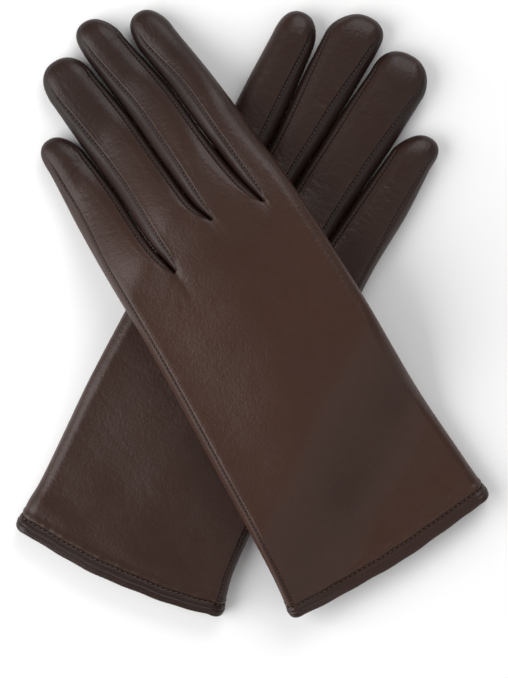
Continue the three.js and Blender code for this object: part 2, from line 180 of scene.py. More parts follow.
ARC_COLUMNS = 19
FLAT_COLUMNS = 18
FLATS = slice(ARC_COLUMNS - 1, ARC_COLUMNS - 1 + FLAT_COLUMNS)
FINGER_ROWS = 130
CAP_ROWS = 16
HAND_ROWS = 150

# Looks: scales of the leather's and the thread's patterns per metre, turns of the knit's waves per
# millimetre, the share of its colour the leather keeps where its painted shade is darkest, how far
# the fingertips are darkened towards that as painted shade and between which distances from the
# cuff in metres, and how far each glove's colours are darkened as painted shade, the lower one's most

CLOUD_SCALE = 38.0
MOTTLE_SCALE = 420.0
DRAWN_SCALE = 130.0
WRINKLE_SCALE = 620.0
WARP_SCALE = 900.0
PEBBLE_SCALE = 1000.0
PORE_SCALE = 3200.0
PLY_SCALE = 900.0
WALES = 4.4
COURSES = 5.6
DEEPER = 0.3
# Painted shade towards the fingertips: where it starts and ends along the glove, and how strong it is
# on each glove
TIP_SHADE_FROM = 0.12
TIP_SHADE_TO = 0.215
TIP_SHADE = {"right": 0.3, "left": 0.7}
# Painted shade: the lower (right) glove's colours are darkened to 0.7 of the upper one's
GLOVE_SHADE = {"right": 0.7, "left": 1.0}


# Camera, floor and light ----------------------------------------------------------------------

# The view in metres, and each soft box's place, aim, size and watts

VIEW_HEIGHT = 0.2734
VIEW_DISTANCE = 1.035
VIEW_RAISED = 0.006
VIEW_CENTRE = (0.0006, -0.0104)
FLOOR_REACH = 6.0
FLOOR_DROP = 0.0001
SOFT_BOXES = {
    "key": ((-0.9, -0.2, 0.62), (0, -0.03, 0), 1.15, 16),
    "top": ((0.35, 1.0, 0.85), (0, 0, 0), 0.9, 8),
    "fill": ((0.9, -0.7, 1.1), (0, 0, 0), 1.6, 5),
}


def add_camera():
    """A long lens straight above the pair, with +Y at the top of the picture."""
    sensor = 36
    data = bpy.data.cameras.new("camera")
    data.sensor_width = sensor
    data.lens = sensor * VIEW_DISTANCE / VIEW_HEIGHT
    camera = bpy.data.objects.new("camera", data)
    camera.location = (*VIEW_CENTRE, VIEW_DISTANCE + VIEW_RAISED)
    bpy.context.scene.collection.objects.link(camera)
    bpy.context.scene.camera = camera


def add_light(name, place, aim, size, watts):
    """A square soft box at `place`, turned towards `aim`."""
    data = bpy.data.lights.new(name, "AREA")
    data.shape = "SQUARE"
    data.size = size
    data.energy = watts
    lamp = bpy.data.objects.new(name, data)
    forward = np.subtract(aim, place)
    flat = math.hypot(forward[0], forward[1])
    lamp.location = place
    lamp.rotation_euler = (math.atan2(flat, -forward[2]), 0, math.atan2(-forward[0], forward[1]))
    bpy.context.scene.collection.objects.link(lamp)


def add_studio():
    """A pale floor, a pale surround and three soft boxes, the strongest low on the left."""
    floor_mesh = bpy.data.meshes.new("floor")
    sides = [(-1, -1), (1, -1), (1, 1), (-1, 1)]
    corners = [(x * FLOOR_REACH, y * FLOOR_REACH, 0) for x, y in sides]
    floor_mesh.from_pydata(corners, [], [(0, 1, 2, 3)])
    floor = bpy.data.objects.new("floor", floor_mesh)
    floor.location.z = -FLOOR_DROP
    bpy.context.scene.collection.objects.link(floor)
    paper = bpy.data.materials.new("pale_floor")
    paper.use_nodes = True
    shader = paper.node_tree.nodes["Principled BSDF"]
    shader.inputs["Base Color"].default_value = (0.92, 0.92, 0.92, 1)
    shader.inputs["Roughness"].default_value = 0.9
    shader.inputs["Specular IOR Level"].default_value = 0.1
    floor_mesh.materials.append(paper)
    world = bpy.data.worlds.new("studio")
    world.use_nodes = True
    surround = world.node_tree.nodes["Background"].inputs
    surround["Color"].default_value = (1, 1, 1, 1)
    surround["Strength"].default_value = 0.3
    bpy.context.scene.world = world
    bpy.context.scene.view_settings.view_transform = "Standard"
    for name, settings in SOFT_BOXES.items():
        add_light(name, *settings)


# Curves and places ----------------------------------------------------------------------------

def ease(value, start, stop):
    """0 before start, 1 after stop, and 3t^2 - 2t^3 between them."""
    t = np.clip((np.asarray(value, float) - start) / (stop - start), 0, 1)
    return t * t * (3 - 2 * t)


def lerp(a, b, t):
    """a at t = 0, b at t = 1, straight between them."""
    return a + (b - a) * t


def unit(vectors):
    """The same directions with a length of 1."""
    return vectors / np.maximum(np.linalg.norm(vectors, axis=-1, keepdims=True), 1e-15)


def bell(distance, width):
    """1 at no distance, falling off as exp(-(distance / width)^2)."""
    return np.exp(-((distance / width) ** 2))


def through(points):
    """Smooth curve h(v) through (v, h) points: cubic pieces whose slope at a point is that of its
    two neighbours, and straight beyond the ends."""
    v, h = np.array(points, float).T
    before = np.maximum(np.arange(len(v)) - 1, 0)
    after = np.minimum(np.arange(len(v)) + 1, len(v) - 1)
    slopes = (h[after] - h[before]) / (v[after] - v[before])

    def curve(x):
        x = np.asarray(x, float)
        i = np.clip(np.searchsorted(v, x) - 1, 0, len(v) - 2)
        step = v[i + 1] - v[i]
        t = (x - v[i]) / step
        ends = h[i] * (2 * t**3 - 3 * t**2 + 1) + h[i + 1] * (3 * t**2 - 2 * t**3)
        inner = ends + step * (slopes[i] * (t**3 - 2 * t**2 + t) + slopes[i + 1] * (t**3 - t**2))
        low = h[0] + slopes[0] * (x - v[0])
        high = h[-1] + slopes[-1] * (x - v[-1])
        return np.where(x <= v[0], low, np.where(x >= v[-1], high, inner))

    return curve


def plan(glove, h, v):
    """Table position of glove point (h, v): turned by the glove's lean and moved to its cuff."""
    lean = math.radians(glove["lean"])
    u = glove["side"] * h
    x = glove["cuff"][0] + u * math.cos(lean) - v * math.sin(lean)
    y = glove["cuff"][1] + u * math.sin(lean) + v * math.cos(lean)
    return x, y


def bridge_height(x, y):
    """How high the upper glove rides over the lower one: a flat-topped ridge along the lower
    glove's axis that eases down to the table on both sides, lower towards its fingers."""
    lean = math.radians(RIGHT["lean"])
    dx = x - RIGHT["cuff"][0]
    dy = y - RIGHT["cuff"][1]
    across = dx * math.cos(lean) + dy * math.sin(lean)
    along = -dx * math.sin(lean) + dy * math.cos(lean)
    palm = BRIDGE["palm"] * (1 - ease(along, BRIDGE["from"], BRIDGE["to"]))
    return (BRIDGE["height"] + palm) * (1 - ease(np.abs(across), BRIDGE["plateau"], BRIDGE["foot"]))


def thumb_rise(glove, slopes, h, v):
    """Rise over the folded thumb: its full height inside the slopes, which ease up from the little
    side and from the cuff and down towards the fingers."""
    aside = ease(h, *slopes["aside"])
    up = ease(v, *slopes["up"])
    down = 1 - ease(v, *slopes["down"])
    return slopes["share"] * glove["thumb_lift"] * aside * up * down


def place(glove, h, v, w):
    """Points (..., 3) in metres of glove points h, v, w: the palm and the back each have their own
    rise over the thumb, and the glove on top adds the ridge it lies over."""
    h, v, w = np.broadcast_arrays(h, v, w)
    x, y = plan(glove, h, v)
    share = np.clip(w / FINGER_THICKNESS, 0, 1)
    z = w + lerp(thumb_rise(glove, PALM_RISE, h, v), thumb_rise(glove, BACK_RISE, h, v), share)
    if glove["on_top"]:
        z = z + bridge_height(x, y)
    return np.stack([x, y, z], -1) * MM


def hem_line(glove, h):
    """The cuff's edge: a shallow bow with a slight wave from the stitching."""
    sag, middle, half = glove["hem"]
    wave = 0.13 * np.sin(h / 5.7 + glove["seed"]) + 0.1 * np.sin(h / 2.3)
    return sag * (((h - middle) / half) ** 2 - 1) + wave


def crotch_line(glove):
    """Smooth line across the hand through the three crotches, a little lower at both edges."""
    slits = glove["slits"]
    return through([
        (glove["little_edge"][2][1], slits[0][0][0] - 3),
        (slits[0][0][1], slits[0][0][0]),
        (slits[1][0][1], slits[1][0][0]),
        (slits[2][0][1], slits[2][0][0]),
        (glove["index_edge"][2][1], slits[2][0][0] - 3),
    ])


# Relief of the leather ------------------------------------------------------------------------

def crease_set(glove):
    """Seeded creases as rows (h, v, turn, half length, width, depth, bow): short ones across the
    finger joints, longer ones running back from the crotches and a few over the hand."""
    rng = np.random.default_rng(glove["seed"])
    rows = []
    for finger in FINGERS:
        low, high = finger_edges(glove, finger)
        tip = glove["tips"][finger][0]
        for _ in range(FINGER_CREASES):
            v = rng.uniform(158, tip - 10)
            h = rng.uniform(low(v) + 3, high(v) - 3)
            rows.append((h, v, rng.normal(0, 0.3), rng.uniform(2.5, 7), rng.uniform(0.5, 1.1),
                         rng.uniform(0.02, 0.08), rng.normal(0, 0.01)))
        for _ in range(TIP_PUCKERS):
            v = rng.uniform(tip - 12, tip - 4)
            h = rng.uniform(low(v) + 2, high(v) - 2)
            rows.append((h, v, LENGTHWISE + rng.normal(0, 0.3), rng.uniform(1.5, 3.5),
                         rng.uniform(0.4, 0.7), rng.uniform(0.05, 0.13), 0))
    for slit in glove["slits"]:
        v0, h0 = slit[0]
        for _ in range(CROTCH_CREASES):
            turn = LENGTHWISE + rng.normal(0, 0.45)
            reach = rng.uniform(4, 11)
            v = v0 - rng.uniform(2, 16)
            h = h0 + (v - v0) / math.tan(turn) * 0.5 + rng.normal(0, 1.5)
            rows.append((h, v, turn, reach, rng.uniform(0.9, 1.7), rng.uniform(0.03, 0.08),
                         rng.normal(0, 0.008)))
    for _ in range(HAND_CREASES):
        rows.append((rng.uniform(-36, 36), rng.uniform(12, 140), rng.uniform(-0.9, 0.9),
                     rng.uniform(5, 16), rng.uniform(0.7, 1.8), rng.uniform(0.02, 0.07),
                     rng.normal(0, 0.01)))
    return np.array(rows)


def relief(glove, h, v):
    """Height added to the leather at (h, v): creases as grooves with a bell-shaped section and
    soft ends, slow swells as a few crossed sine waves, and bell-shaped hollows."""
    out = np.zeros(np.broadcast(h, v).shape)
    for ch, cv, turn, reach, width, depth, bow in glove["creases"]:
        dh = h - ch
        dv = v - cv
        along = dh * math.cos(turn) + dv * math.sin(turn)
        across = -dh * math.sin(turn) + dv * math.cos(turn) + bow * along**2
        section = bell(across, width) - 0.45 * bell(across, 2.2 * width)
        out -= depth * section * np.exp(-((along / reach) ** 4))
    phase = glove["seed"]
    swell = np.sin(h / 9.5 + v / 23 + phase) * np.sin(v / 17 - h / 31 + 2 * phase)
    swell += 0.6 * np.sin(h / 5.3 - v / 11 + 3 * phase) * np.sin(v / 8.3 + h / 14)
    for ch, cv, size, depth in glove["dents"]:
        out -= depth * bell(np.hypot(h - ch, v - cv), size)
    return out + SWELL * swell


def seam_profile(distance):
    """Height near a seam: a rounded bead beside it that dives into the stitched line."""
    bead = SEAM_BEAD * bell(distance - SEAM_REACH, 0.7)
    return bead - SEAM_DIVE * bell(distance, 0.45)


# Sections of a hand and a finger --------------------------------------------------------------

def finger_edges(glove, finger):
    """The two long outlines of a finger, without the slit's width."""
    i = FINGERS.index(finger)
    low = through(glove["little_edge"] if i == 0 else glove["slits"][i - 1])
    high = through(glove["index_edge"] if i == 3 else glove["slits"][i])
    return low, high


def crotches(glove, finger):
    """Where the slits on the little and the index side of a finger begin, or None at an edge."""
    i = FINGERS.index(finger)
    low = None if i == 0 else glove["slits"][i - 1][0][0]
    high = None if i == 3 else glove["slits"][i][0][0]
    return low, high


def hand_thickness(v):
    """The cuff's thickness easing into the hand's."""
    return lerp(CUFF_THICKNESS, HAND_THICKNESS, ease(v, 0, FULL_THICKNESS_AT))


def hand_top(glove, h, v):
    """Height of the back of the hand: its thickness and a crown that is level at both edges."""
    little = through(glove["little_edge"])(v) + EDGE
    index = through(glove["index_edge"])(v) - EDGE
    across = np.clip((2 * h - little - index) / (index - little), -1, 1)
    return hand_thickness(v) + HAND_CROWN * (1 - across**2) ** 2


def slit_growth(v, start, length):
    """0 at the crotch, rising at once and settling at 1 within about three lengths."""
    return 1 - np.exp(-np.maximum(v - start, 0) / length)


def finger_section(glove, finger, v):
    """Sizes of a finger's section at v: its edges, the widths of the rounded edges, its thickness,
    the angles of the seams above the middle height and how far the rounded tip has closed."""
    low, high = finger_edges(glove, finger)
    tip, tip_centre = glove["tips"][finger]
    cap = tip - FINGER_CAP
    past = np.clip((v - cap) / FINGER_CAP, 0, 1)
    closing = np.maximum(1 - past**TIP_POWER, 0) ** (1 / TIP_POWER)
    base = np.minimum(v, cap)
    sides = []
    for number, edge in enumerate((low, high)):
        start = crotches(glove, finger)[number]
        if start is None:
            angle = SIDE_SEAM_ANGLE if number == 0 else 0
            rounder = EDGE + (FINGER_EDGE - EDGE) * ease(v, KNUCKLES, KNUCKLES + 35)
            sides.append((edge(base), rounder, np.full(np.shape(v), angle)))
            continue
        gap = (1 - 2 * number) * SLIT / 2 * ease(v, start, start + 9)
        bend = CROTCH_EDGE + (FINGER_EDGE - CROTCH_EDGE) * slit_growth(v, start, EDGE_SETTLES)
        angle = 90 - (90 - SLIT_SEAM_ANGLES[number]) * slit_growth(v, start, SEAM_SETTLES)
        sides.append((edge(base) + gap, bend, angle))
    (left, bend_left, seam_left), (right, bend_right, seam_right) = sides
    centre = lerp((left + right) / 2, tip_centre, ease(v, cap, tip))
    taper = 1 - TIP_TAPER * ease(v, tip - 38, tip - 8)
    half = (right - left) / 2 * taper * closing
    fade = 1 - SEAMS_SINK * ease(v, tip - 42, tip - 4)
    return {
        "left": centre - half, "right": centre + half,
        "bend_left": bend_left * taper * closing, "bend_right": bend_right * taper * closing,
        "thickness": lerp(FINGER_THICKNESS, FINGERTIP_THICKNESS, ease(v, KNUCKLES, tip)),
        "closing": closing,
        "seam_left": np.radians(seam_left * fade), "seam_right": np.radians(seam_right * fade),
    }


def finger_height(glove, section, h, v, line, under):
    """Height of the top (or underside) of a finger at h: the hand's own height at the crotch line,
    easing into the finger's crowned one, and drawn in to the middle at the tip."""
    full = section["thickness"]
    middle = full / 2
    if under:
        return middle * (1 - section["closing"])
    width = (section["right"] - section["left"]) / 2
    centre = (section["right"] + section["left"]) / 2
    across = np.clip((h - centre) / np.maximum(width, 0.01), -1, 1)
    crown = FINGER_CROWN * (1 - across**2) ** 2
    grown = ease(v - line(h), 0, CROWN_GROWS)
    top = lerp(hand_top(glove, h, v), full + crown, grown)
    return middle + (top - middle) * section["closing"]


def with_edges(h, v, w, middles, bends, seams, sign, far_high=None, corner=0):
    """A flat's points with its two rounded edges: quarter ellipses from the seam angle up to the
    flat, each `bend` wide and as high as the flat is over the middle; past the middle height they
    are `far_high` high. `corner` moves the very edge that much further from the cuff. Returns h, v, w
    and the section's normal as across and up parts."""
    share = np.linspace(0, 1, ARC_COLUMNS)[:-1] ** 1.4
    columns = []
    for side in (0, 1):
        end = -side
        away = 2 * side - 1
        seam = seams[side][:, None]
        angle = seam + (math.pi / 2 - seam) * share
        high = sign * (w[:, end] - middles[side])[:, None] * np.ones_like(angle)
        if far_high is not None:
            high = np.where(angle < 0, far_high[:, None], high)
        bend = bends[side][:, None]
        part = [
            h[:, end][:, None] + away * bend * np.cos(angle),
            v[:, end][:, None] + np.reshape(corner, (-1, 1)) * (1 - np.sin(np.abs(angle))) ** 1.5,
            middles[side][:, None] + sign * high * np.sin(angle),
            away * high * np.cos(angle),
            sign * bend * np.sin(angle),
        ]
        size = np.maximum(np.hypot(part[3], part[4]), 1e-9)
        part[3] = part[3] / size
        part[4] = part[4] / size
        columns.append(part if side == 0 else [p[:, ::-1] for p in part])
    flat = [h, v, w, np.zeros_like(h), np.full_like(h, sign)]
    return [np.concatenate([a, b, c], 1) for a, b, c in zip(columns[0], flat, columns[1])]


def valley(glove, h, v):
    """The dip that leads into each crotch and dies out along the slit."""
    out = np.zeros(np.shape(h))
    for slit in glove["slits"]:
        start, middle = slit[0]
        before = np.maximum(start - v, 0)
        after = np.maximum(v - start, 0)
        width = VALLEY_WIDTH + 0.14 * before
        aside = h - np.where(v > start, through(slit)(v), middle - 0.1 * (v - start))
        fade = np.exp(-before / VALLEY_BEFORE) * np.exp(-after / VALLEY_AFTER)
        out = out - VALLEY_DEPTH * bell(aside, width) * fade
    return out


def seam_strength(glove, finger, side, v):
    """How deep the seam on a finger's side runs at v: from nothing at a crotch, all along the
    little finger's outer side, and only round the tip on the index finger's fold."""
    start = crotches(glove, finger)[side]
    tip = glove["tips"][finger][0]
    round_tip = 1 - 0.9 * ease(v, tip - SEAM_FADES_AT - 6, tip - SEAM_FADES_AT + 6)
    if start is not None:
        return ease(v, start, start + 6) * round_tip
    if side == 0:
        return np.ones(np.shape(v)) * round_tip
    return ease(v, tip - 16, tip - 8) * round_tip


def dressed(glove, h, v, w, across, up, strengths, closing, under, extra=0):
    """Outer and inner wall of a panel from its bare surface: creases, the valleys at the crotches
    and the seams' beads raise or lower it along the section's normal. Also returns how near each
    point is to a seam, which the material uses for painted shade in the seam grooves and roughness."""
    step = np.hypot(np.diff(h, axis=1), np.diff(w, axis=1))
    from_left = np.concatenate([np.zeros((len(h), 1)), np.cumsum(step, 1)], 1)
    from_right = from_left[:, -1:] - from_left
    amount = relief(glove, -h if under else h, v) * np.abs(up) + extra
    if not under:
        amount = amount + valley(glove, h, v) * np.abs(up)
    near = np.zeros_like(h)
    tuck = np.zeros_like(h)
    for distance, strength in ((from_left, strengths[0]), (from_right, strengths[1])):
        ripple = 1 + 0.22 * np.sin(2 * math.pi * v / STITCH_PITCH) * bell(distance - 0.9, 1)
        amount = amount + seam_profile(distance) * ripple * strength
        tuck = tuck + 0.35 * bell(distance, 0.6) * strength
        near = near + bell(distance, 0.55) * strength
    amount = amount * closing
    inset = (LEATHER + tuck) * closing
    shrink = LEATHER * (1 - closing)
    raised = w + up * amount
    outer = place(glove, h + across * amount, v, np.maximum(raised, 0) if under else raised)
    inner = place(glove, h - across * inset, v - shrink, w - up * inset)
    return outer, inner, np.clip(near, 0, 1)


def outward(glove, across, up):
    """Direction in space of a section's normal."""
    lean = math.radians(glove["lean"])
    side = across * glove["side"]
    return np.stack([side * math.cos(lean), side * math.sin(lean), up], -1)


def finger_rows(glove, finger):
    """Row positions from the crotch line to the tip, closing up towards the pole."""
    low, high = finger_edges(glove, finger)
    first = float(crotch_line(glove)((low(145) + high(145)) / 2))
    tip = glove["tips"][finger][0]
    shaft = np.linspace(first, tip - FINGER_CAP, FINGER_ROWS, endpoint=False)
    cap = tip - FINGER_CAP * (1 - np.sin(np.linspace(0, math.pi / 2, CAP_ROWS + 1)[:-1]))
    return np.concatenate([shaft, cap])


def finger_panel(glove, finger, under):
    """A finger's back (or palm) panel: from the little-side seam up the rounded edge, over the flat
    and down to the index-side seam, from the crotch line to the tip."""
    line = crotch_line(glove)
    rows = finger_rows(glove, finger)
    shares = np.linspace(0, 1, FLAT_COLUMNS)
    rough = finger_section(glove, finger, rows)
    guess = lerp((rough["left"] + rough["bend_left"])[:, None],
                 (rough["right"] - rough["bend_right"])[:, None], shares)
    settle = 1 - ease(rows, rows[0], rows[0] + ROWS_LEVEL_AFTER)
    v = rows[:, None] + (line(guess) - rows[0]) * settle[:, None]
    s = finger_section(glove, finger, v)
    h = lerp(s["left"] + s["bend_left"], s["right"] - s["bend_right"], shares)
    w = finger_height(glove, s, h, v, line, under)
    middle = s["thickness"] / 2
    seams = [s["seam_left"][:, 0], s["seam_right"][:, -1]]
    far_high = None
    if under and finger == "little":
        seams[0] = -seams[0]
        far_high = finger_height(glove, s, h, v, line, False)[:, 0] - middle[:, 0]
    bends = (s["bend_left"][:, 0], s["bend_right"][:, -1])
    sign = -1 if under else 1
    middles = (middle[:, 0], middle[:, -1])
    h, v, w, across, up = with_edges(h, v, w, middles, bends, seams, sign, far_high)
    closing = finger_section(glove, finger, v)["closing"]
    strengths = [seam_strength(glove, finger, side, v) for side in (0, 1)]
    outer, inner, near = dressed(glove, h, v, w, across, up, strengths, closing, under)
    tip, tip_centre = glove["tips"][finger]
    pole = place(glove, tip_centre, tip, FINGERTIP_THICKNESS / 2)
    back = place(glove, tip_centre, tip - LEATHER, FINGERTIP_THICKNESS / 2)
    return {"outer": outer, "inner": inner, "near": near, "out": outward(glove, across, up),
            "h": h, "v": v, "w": w, "pole": np.stack([pole, back])}


def hand_rows():
    """Distances from the cuff edge: close together in the groove above the hem, then even."""
    start = HEM_DEPTH + 0.1
    near = start + 6 * np.linspace(0, 1, 16) ** 1.7
    return np.concatenate([near[:-1], np.linspace(near[-1], HAND_LENGTH, HAND_ROWS)])


def hand_sides(glove, share, little_end, index_end):
    """Where the hand's flat ends on both sides, at each share of the way from the hem to two ends."""
    little = through(glove["little_edge"])
    index = through(glove["index_edge"])
    left = little(lerp(hem_line(glove, little(0)), little_end, share)) + EDGE
    right = index(lerp(hem_line(glove, index(0)), index_end, share)) - EDGE
    return left, right


def hand_panel(glove, fingers, under):
    """The back (or palm) of the hand, from the groove above the hem to the crotch line: columns run
    from the side seam over the flat to the fold on the index side and end on the fingers' own."""
    last_h = np.concatenate([f["h"][0, FLATS] for f in fingers])
    last_v = np.concatenate([f["v"][0, FLATS] for f in fingers])
    rows = hand_rows()
    share = rows / HAND_LENGTH
    left, right = hand_sides(glove, share, last_v[0], last_v[-1])
    position = (last_h - last_h[0]) / (last_h[-1] - last_h[0])
    h = lerp(left[:, None], right[:, None], position)
    h[-1] = last_h
    v = lerp(hem_line(glove, h), last_v, share[:, None])
    w = np.zeros_like(h) if under else hand_top(glove, h, v)
    settle = ease(rows, FINGERS_FELT_FROM, HAND_LENGTH)
    middles = [lerp(hand_thickness(v[:, end]) / 2, FINGER_THICKNESS / 2, settle) for end in (0, -1)]
    bends = [np.full(len(rows), EDGE)] * 2
    seam = np.full(len(rows), math.radians(SIDE_SEAM_ANGLE))
    far_high = None
    if under:
        seam = -seam
        far_high = hand_top(glove, h, v)[:, 0] - middles[0]
    seams = [seam, np.zeros(len(rows))]
    corner = CUFF_CORNER * (1 - ease(rows, 0, CORNER_REACH))
    sign = -1 if under else 1
    h, v, w, across, up = with_edges(h, v, w, middles, bends, seams, sign, far_high, corner)
    past_hem = np.repeat((rows - HEM_DEPTH)[:, None], h.shape[1], 1)
    pucker = 1 + 0.5 * np.sin(h / 0.9) * np.sin(h / 2.6 + 1)
    roll = 0.5 + 0.5 * np.sin(h / 7.3 + glove["seed"])
    ridge = HEM_PUCKERS * bell(past_hem - 1.8, 1.2) * pucker
    ridge = ridge + HEM_ROLL * roll * bell(past_hem - 7.5, 4.5)
    ridge = ridge - HEM_GROOVE * bell(past_hem, 0.5)
    strengths = [np.ones_like(h), np.zeros_like(h)]
    whole = np.ones_like(h)
    outer, inner, near = dressed(glove, h, v, w, across, up, strengths, whole, under, ridge)
    # Painted shade: the groove above the hem is marked for the material to darken, as along the seams
    near = np.maximum(near, 0.8 * bell(past_hem, 0.5))
    return {"outer": outer, "inner": inner, "near": near, "out": outward(glove, across, up),
            "h": h, "v": v, "w": w}


def match_rows(hand, fingers):
    """Makes the hand's last row the fingers' first one, and gives each panel the next row of its
    neighbour, so that their shading runs on across the cut."""
    first = [fingers[0]["outer"][:2, :ARC_COLUMNS - 1]]
    first += [f["outer"][:2, FLATS] for f in fingers]
    first += [fingers[-1]["outer"][:2, FLATS.stop:]]
    rows = np.concatenate(first, 1)
    hand["outer"][-1] = rows[0]
    hand["after"] = rows[1]
    before = hand["outer"][-2]
    for i, f in enumerate(fingers):
        ghost = 2 * f["outer"][0] - f["outer"][1]
        start = FLATS.start + i * FLAT_COLUMNS
        ghost[FLATS] = before[start:start + FLAT_COLUMNS]
        if i == 0:
            ghost[:FLATS.start] = before[:FLATS.start]
        if i == len(fingers) - 1:
            ghost[FLATS.stop:] = before[-(ARC_COLUMNS - 1):]
        f["before"] = ghost
        f["after"] = np.repeat(f["pole"][:1], f["outer"].shape[1], 0)


def grid_normals(panel, right=None):
    """Unit normals of a panel's outer wall by central differences, with its neighbours' rows at both
    ends and, at a fold, the neighbour's column on the right. True if the rows wind outwards."""
    points = panel["outer"]
    before = panel.get("before", 2 * points[0] - points[1])
    after = panel.get("after", 2 * points[-1] - points[-2])
    tall = np.concatenate([before[None], points, after[None]])
    left = 2 * points[:, :1] - points[:, 1:2]
    ghost = 2 * points[:, -1:] - points[:, -2:-1] if right is None else right[:, None]
    wide = np.concatenate([left, points, ghost], 1)
    normal = unit(np.cross(wide[:, 2:] - wide[:, :-2], tall[2:] - tall[:-2]))
    agrees = np.sum(normal * panel["out"]) > 0
    return (normal if agrees else -normal), agrees


# Meshes ---------------------------------------------------------------------------------------

def rim_quads(faces, count):
    """Quads that join the open edges of a sheet to the same edges of its inner copy, whose points
    come `count` later."""
    edges = np.concatenate([np.stack([f, np.roll(f, -1, 1)], -1).reshape(-1, 2) for f in faces])
    forward = edges[:, 0] * count + edges[:, 1]
    backward = edges[:, 1] * count + edges[:, 0]
    a, b = edges[~np.isin(forward, backward)].T
    return np.stack([b, a, a + count, b + count], -1)


def write_mesh(name, points, faces, normals=None, near=None):
    """A mesh object from points in metres and arrays of faces with the same number of corners;
    points that no face uses are dropped."""
    used = np.unique(np.concatenate([f.ravel() for f in faces]))
    new = np.full(len(points), -1)
    new[used] = np.arange(len(used))
    corners = np.concatenate([new[f].ravel() for f in faces])
    sizes = np.concatenate([np.full(len(f), f.shape[1]) for f in faces])
    starts = np.concatenate([[0], np.cumsum(sizes)[:-1]])
    mesh = bpy.data.meshes.new(name)
    mesh.vertices.add(len(used))
    mesh.vertices.foreach_set("co", points[used].astype(np.float32).ravel())
    mesh.loops.add(len(corners))
    mesh.loops.foreach_set("vertex_index", corners.astype(np.int32))
    mesh.polygons.add(len(starts))
    mesh.polygons.foreach_set("loop_start", starts.astype(np.int32))
    mesh.update(calc_edges=True)
    mesh.shade_smooth()
    # The seam attribute marks the grooves the material darkens as painted shade and makes rougher
    if near is not None:
        attribute = mesh.attributes.new("seam", "FLOAT", "POINT")
        attribute.data.foreach_set("value", near[used].astype(np.float32))
    if normals is not None:
        mesh.normals_split_custom_set_from_vertices(normals[used].tolist())
    piece = bpy.data.objects.new(name, mesh)
    bpy.context.scene.collection.objects.link(piece)
    return piece


def panel_mesh(name, panel, right=None, keep=None):
    """Closed shell of a panel: its outer and inner walls, the rim between them and, if it ends at a
    fingertip, the fans of triangles round both poles."""
    normals, agrees = grid_normals(panel, right)
    rows, cols = panel["outer"].shape[:2]
    i, j = np.meshgrid(np.arange(rows - 1), np.arange(cols - 1), indexing="ij")
    a = i * cols + j
    quads = np.stack([a, a + 1, a + cols + 1, a + cols], -1)
    quads = quads.reshape(-1, 4) if keep is None else quads[keep]
    outer = panel["outer"].reshape(-1, 3)
    inner = panel["inner"].reshape(-1, 3)
    shading = normals.reshape(-1, 3)
    near = panel["near"].ravel()
    sheets = [quads]
    if "pole" in panel:
        last = (rows - 1) * cols + np.arange(cols - 1)
        tip = np.full(cols - 1, rows * cols)
        sheets.append(np.stack([last, last + 1, tip], -1))
        forward = panel["pole"][0] - panel["pole"][1]
        outer = np.concatenate([outer, panel["pole"][:1]])
        inner = np.concatenate([inner, panel["pole"][1:]])
        shading = np.concatenate([shading, unit(forward)[None]])
        near = np.append(near, 1)
    if not agrees:
        sheets = [f[:, ::-1] for f in sheets]
    count = len(outer)
    faces = sheets + [f[:, ::-1] + count for f in sheets] + [rim_quads(sheets, count)]
    points = np.concatenate([outer, inner])
    shading = np.concatenate([shading, -shading])
    return write_mesh(name, points, faces, shading, np.concatenate([near, np.zeros(count)]))


def closed_grid(name, points, wrap_rows, near=None):
    """Closed surface of a grid whose columns wrap round. Its rows wrap as well, or end in fans round
    the middles of the first and last row."""
    rows, cols = points.shape[:2]
    i, j = np.meshgrid(np.arange(rows if wrap_rows else rows - 1), np.arange(cols), indexing="ij")
    next_row = (i + 1) % rows * cols
    next_col = (j + 1) % cols
    quads = np.stack([i * cols + j, i * cols + next_col, next_row + next_col, next_row + j], -1)
    quads = quads.reshape(-1, 4)
    flat = points.reshape(-1, 3)
    faces = [quads]
    if not wrap_rows:
        around = np.arange(cols)
        ends = np.full(cols, rows * cols)
        flat = np.concatenate([flat, [points[0].mean(0), points[-1].mean(0)]])
        faces.append(np.stack([(around + 1) % cols, around, ends], -1))
        last = (rows - 1) * cols
        faces.append(np.stack([last + around, last + (around + 1) % cols, ends + 1], -1))
    if signed_volume(flat, faces) < 0:
        faces = [f[:, ::-1] for f in faces]
    return write_mesh(name, flat, faces, near=None if near is None else near.ravel())


def signed_volume(points, faces):
    """Volume inside a closed mesh: positive if its faces wind outwards."""
    total = 0
    for f in faces:
        for k in range(1, f.shape[1] - 1):
            total += np.sum(points[f[:, 0]] * np.cross(points[f[:, k]], points[f[:, k + 1]]))
    return total


def dress(piece, material):
    """The piece with its look."""
    piece.data.materials.append(material)
    return piece


def ride_finger(piece):
    """The piece with its placement baked into its mesh."""
    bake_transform(piece)
    return piece


# Pieces ---------------------------------------------------------------------------------------

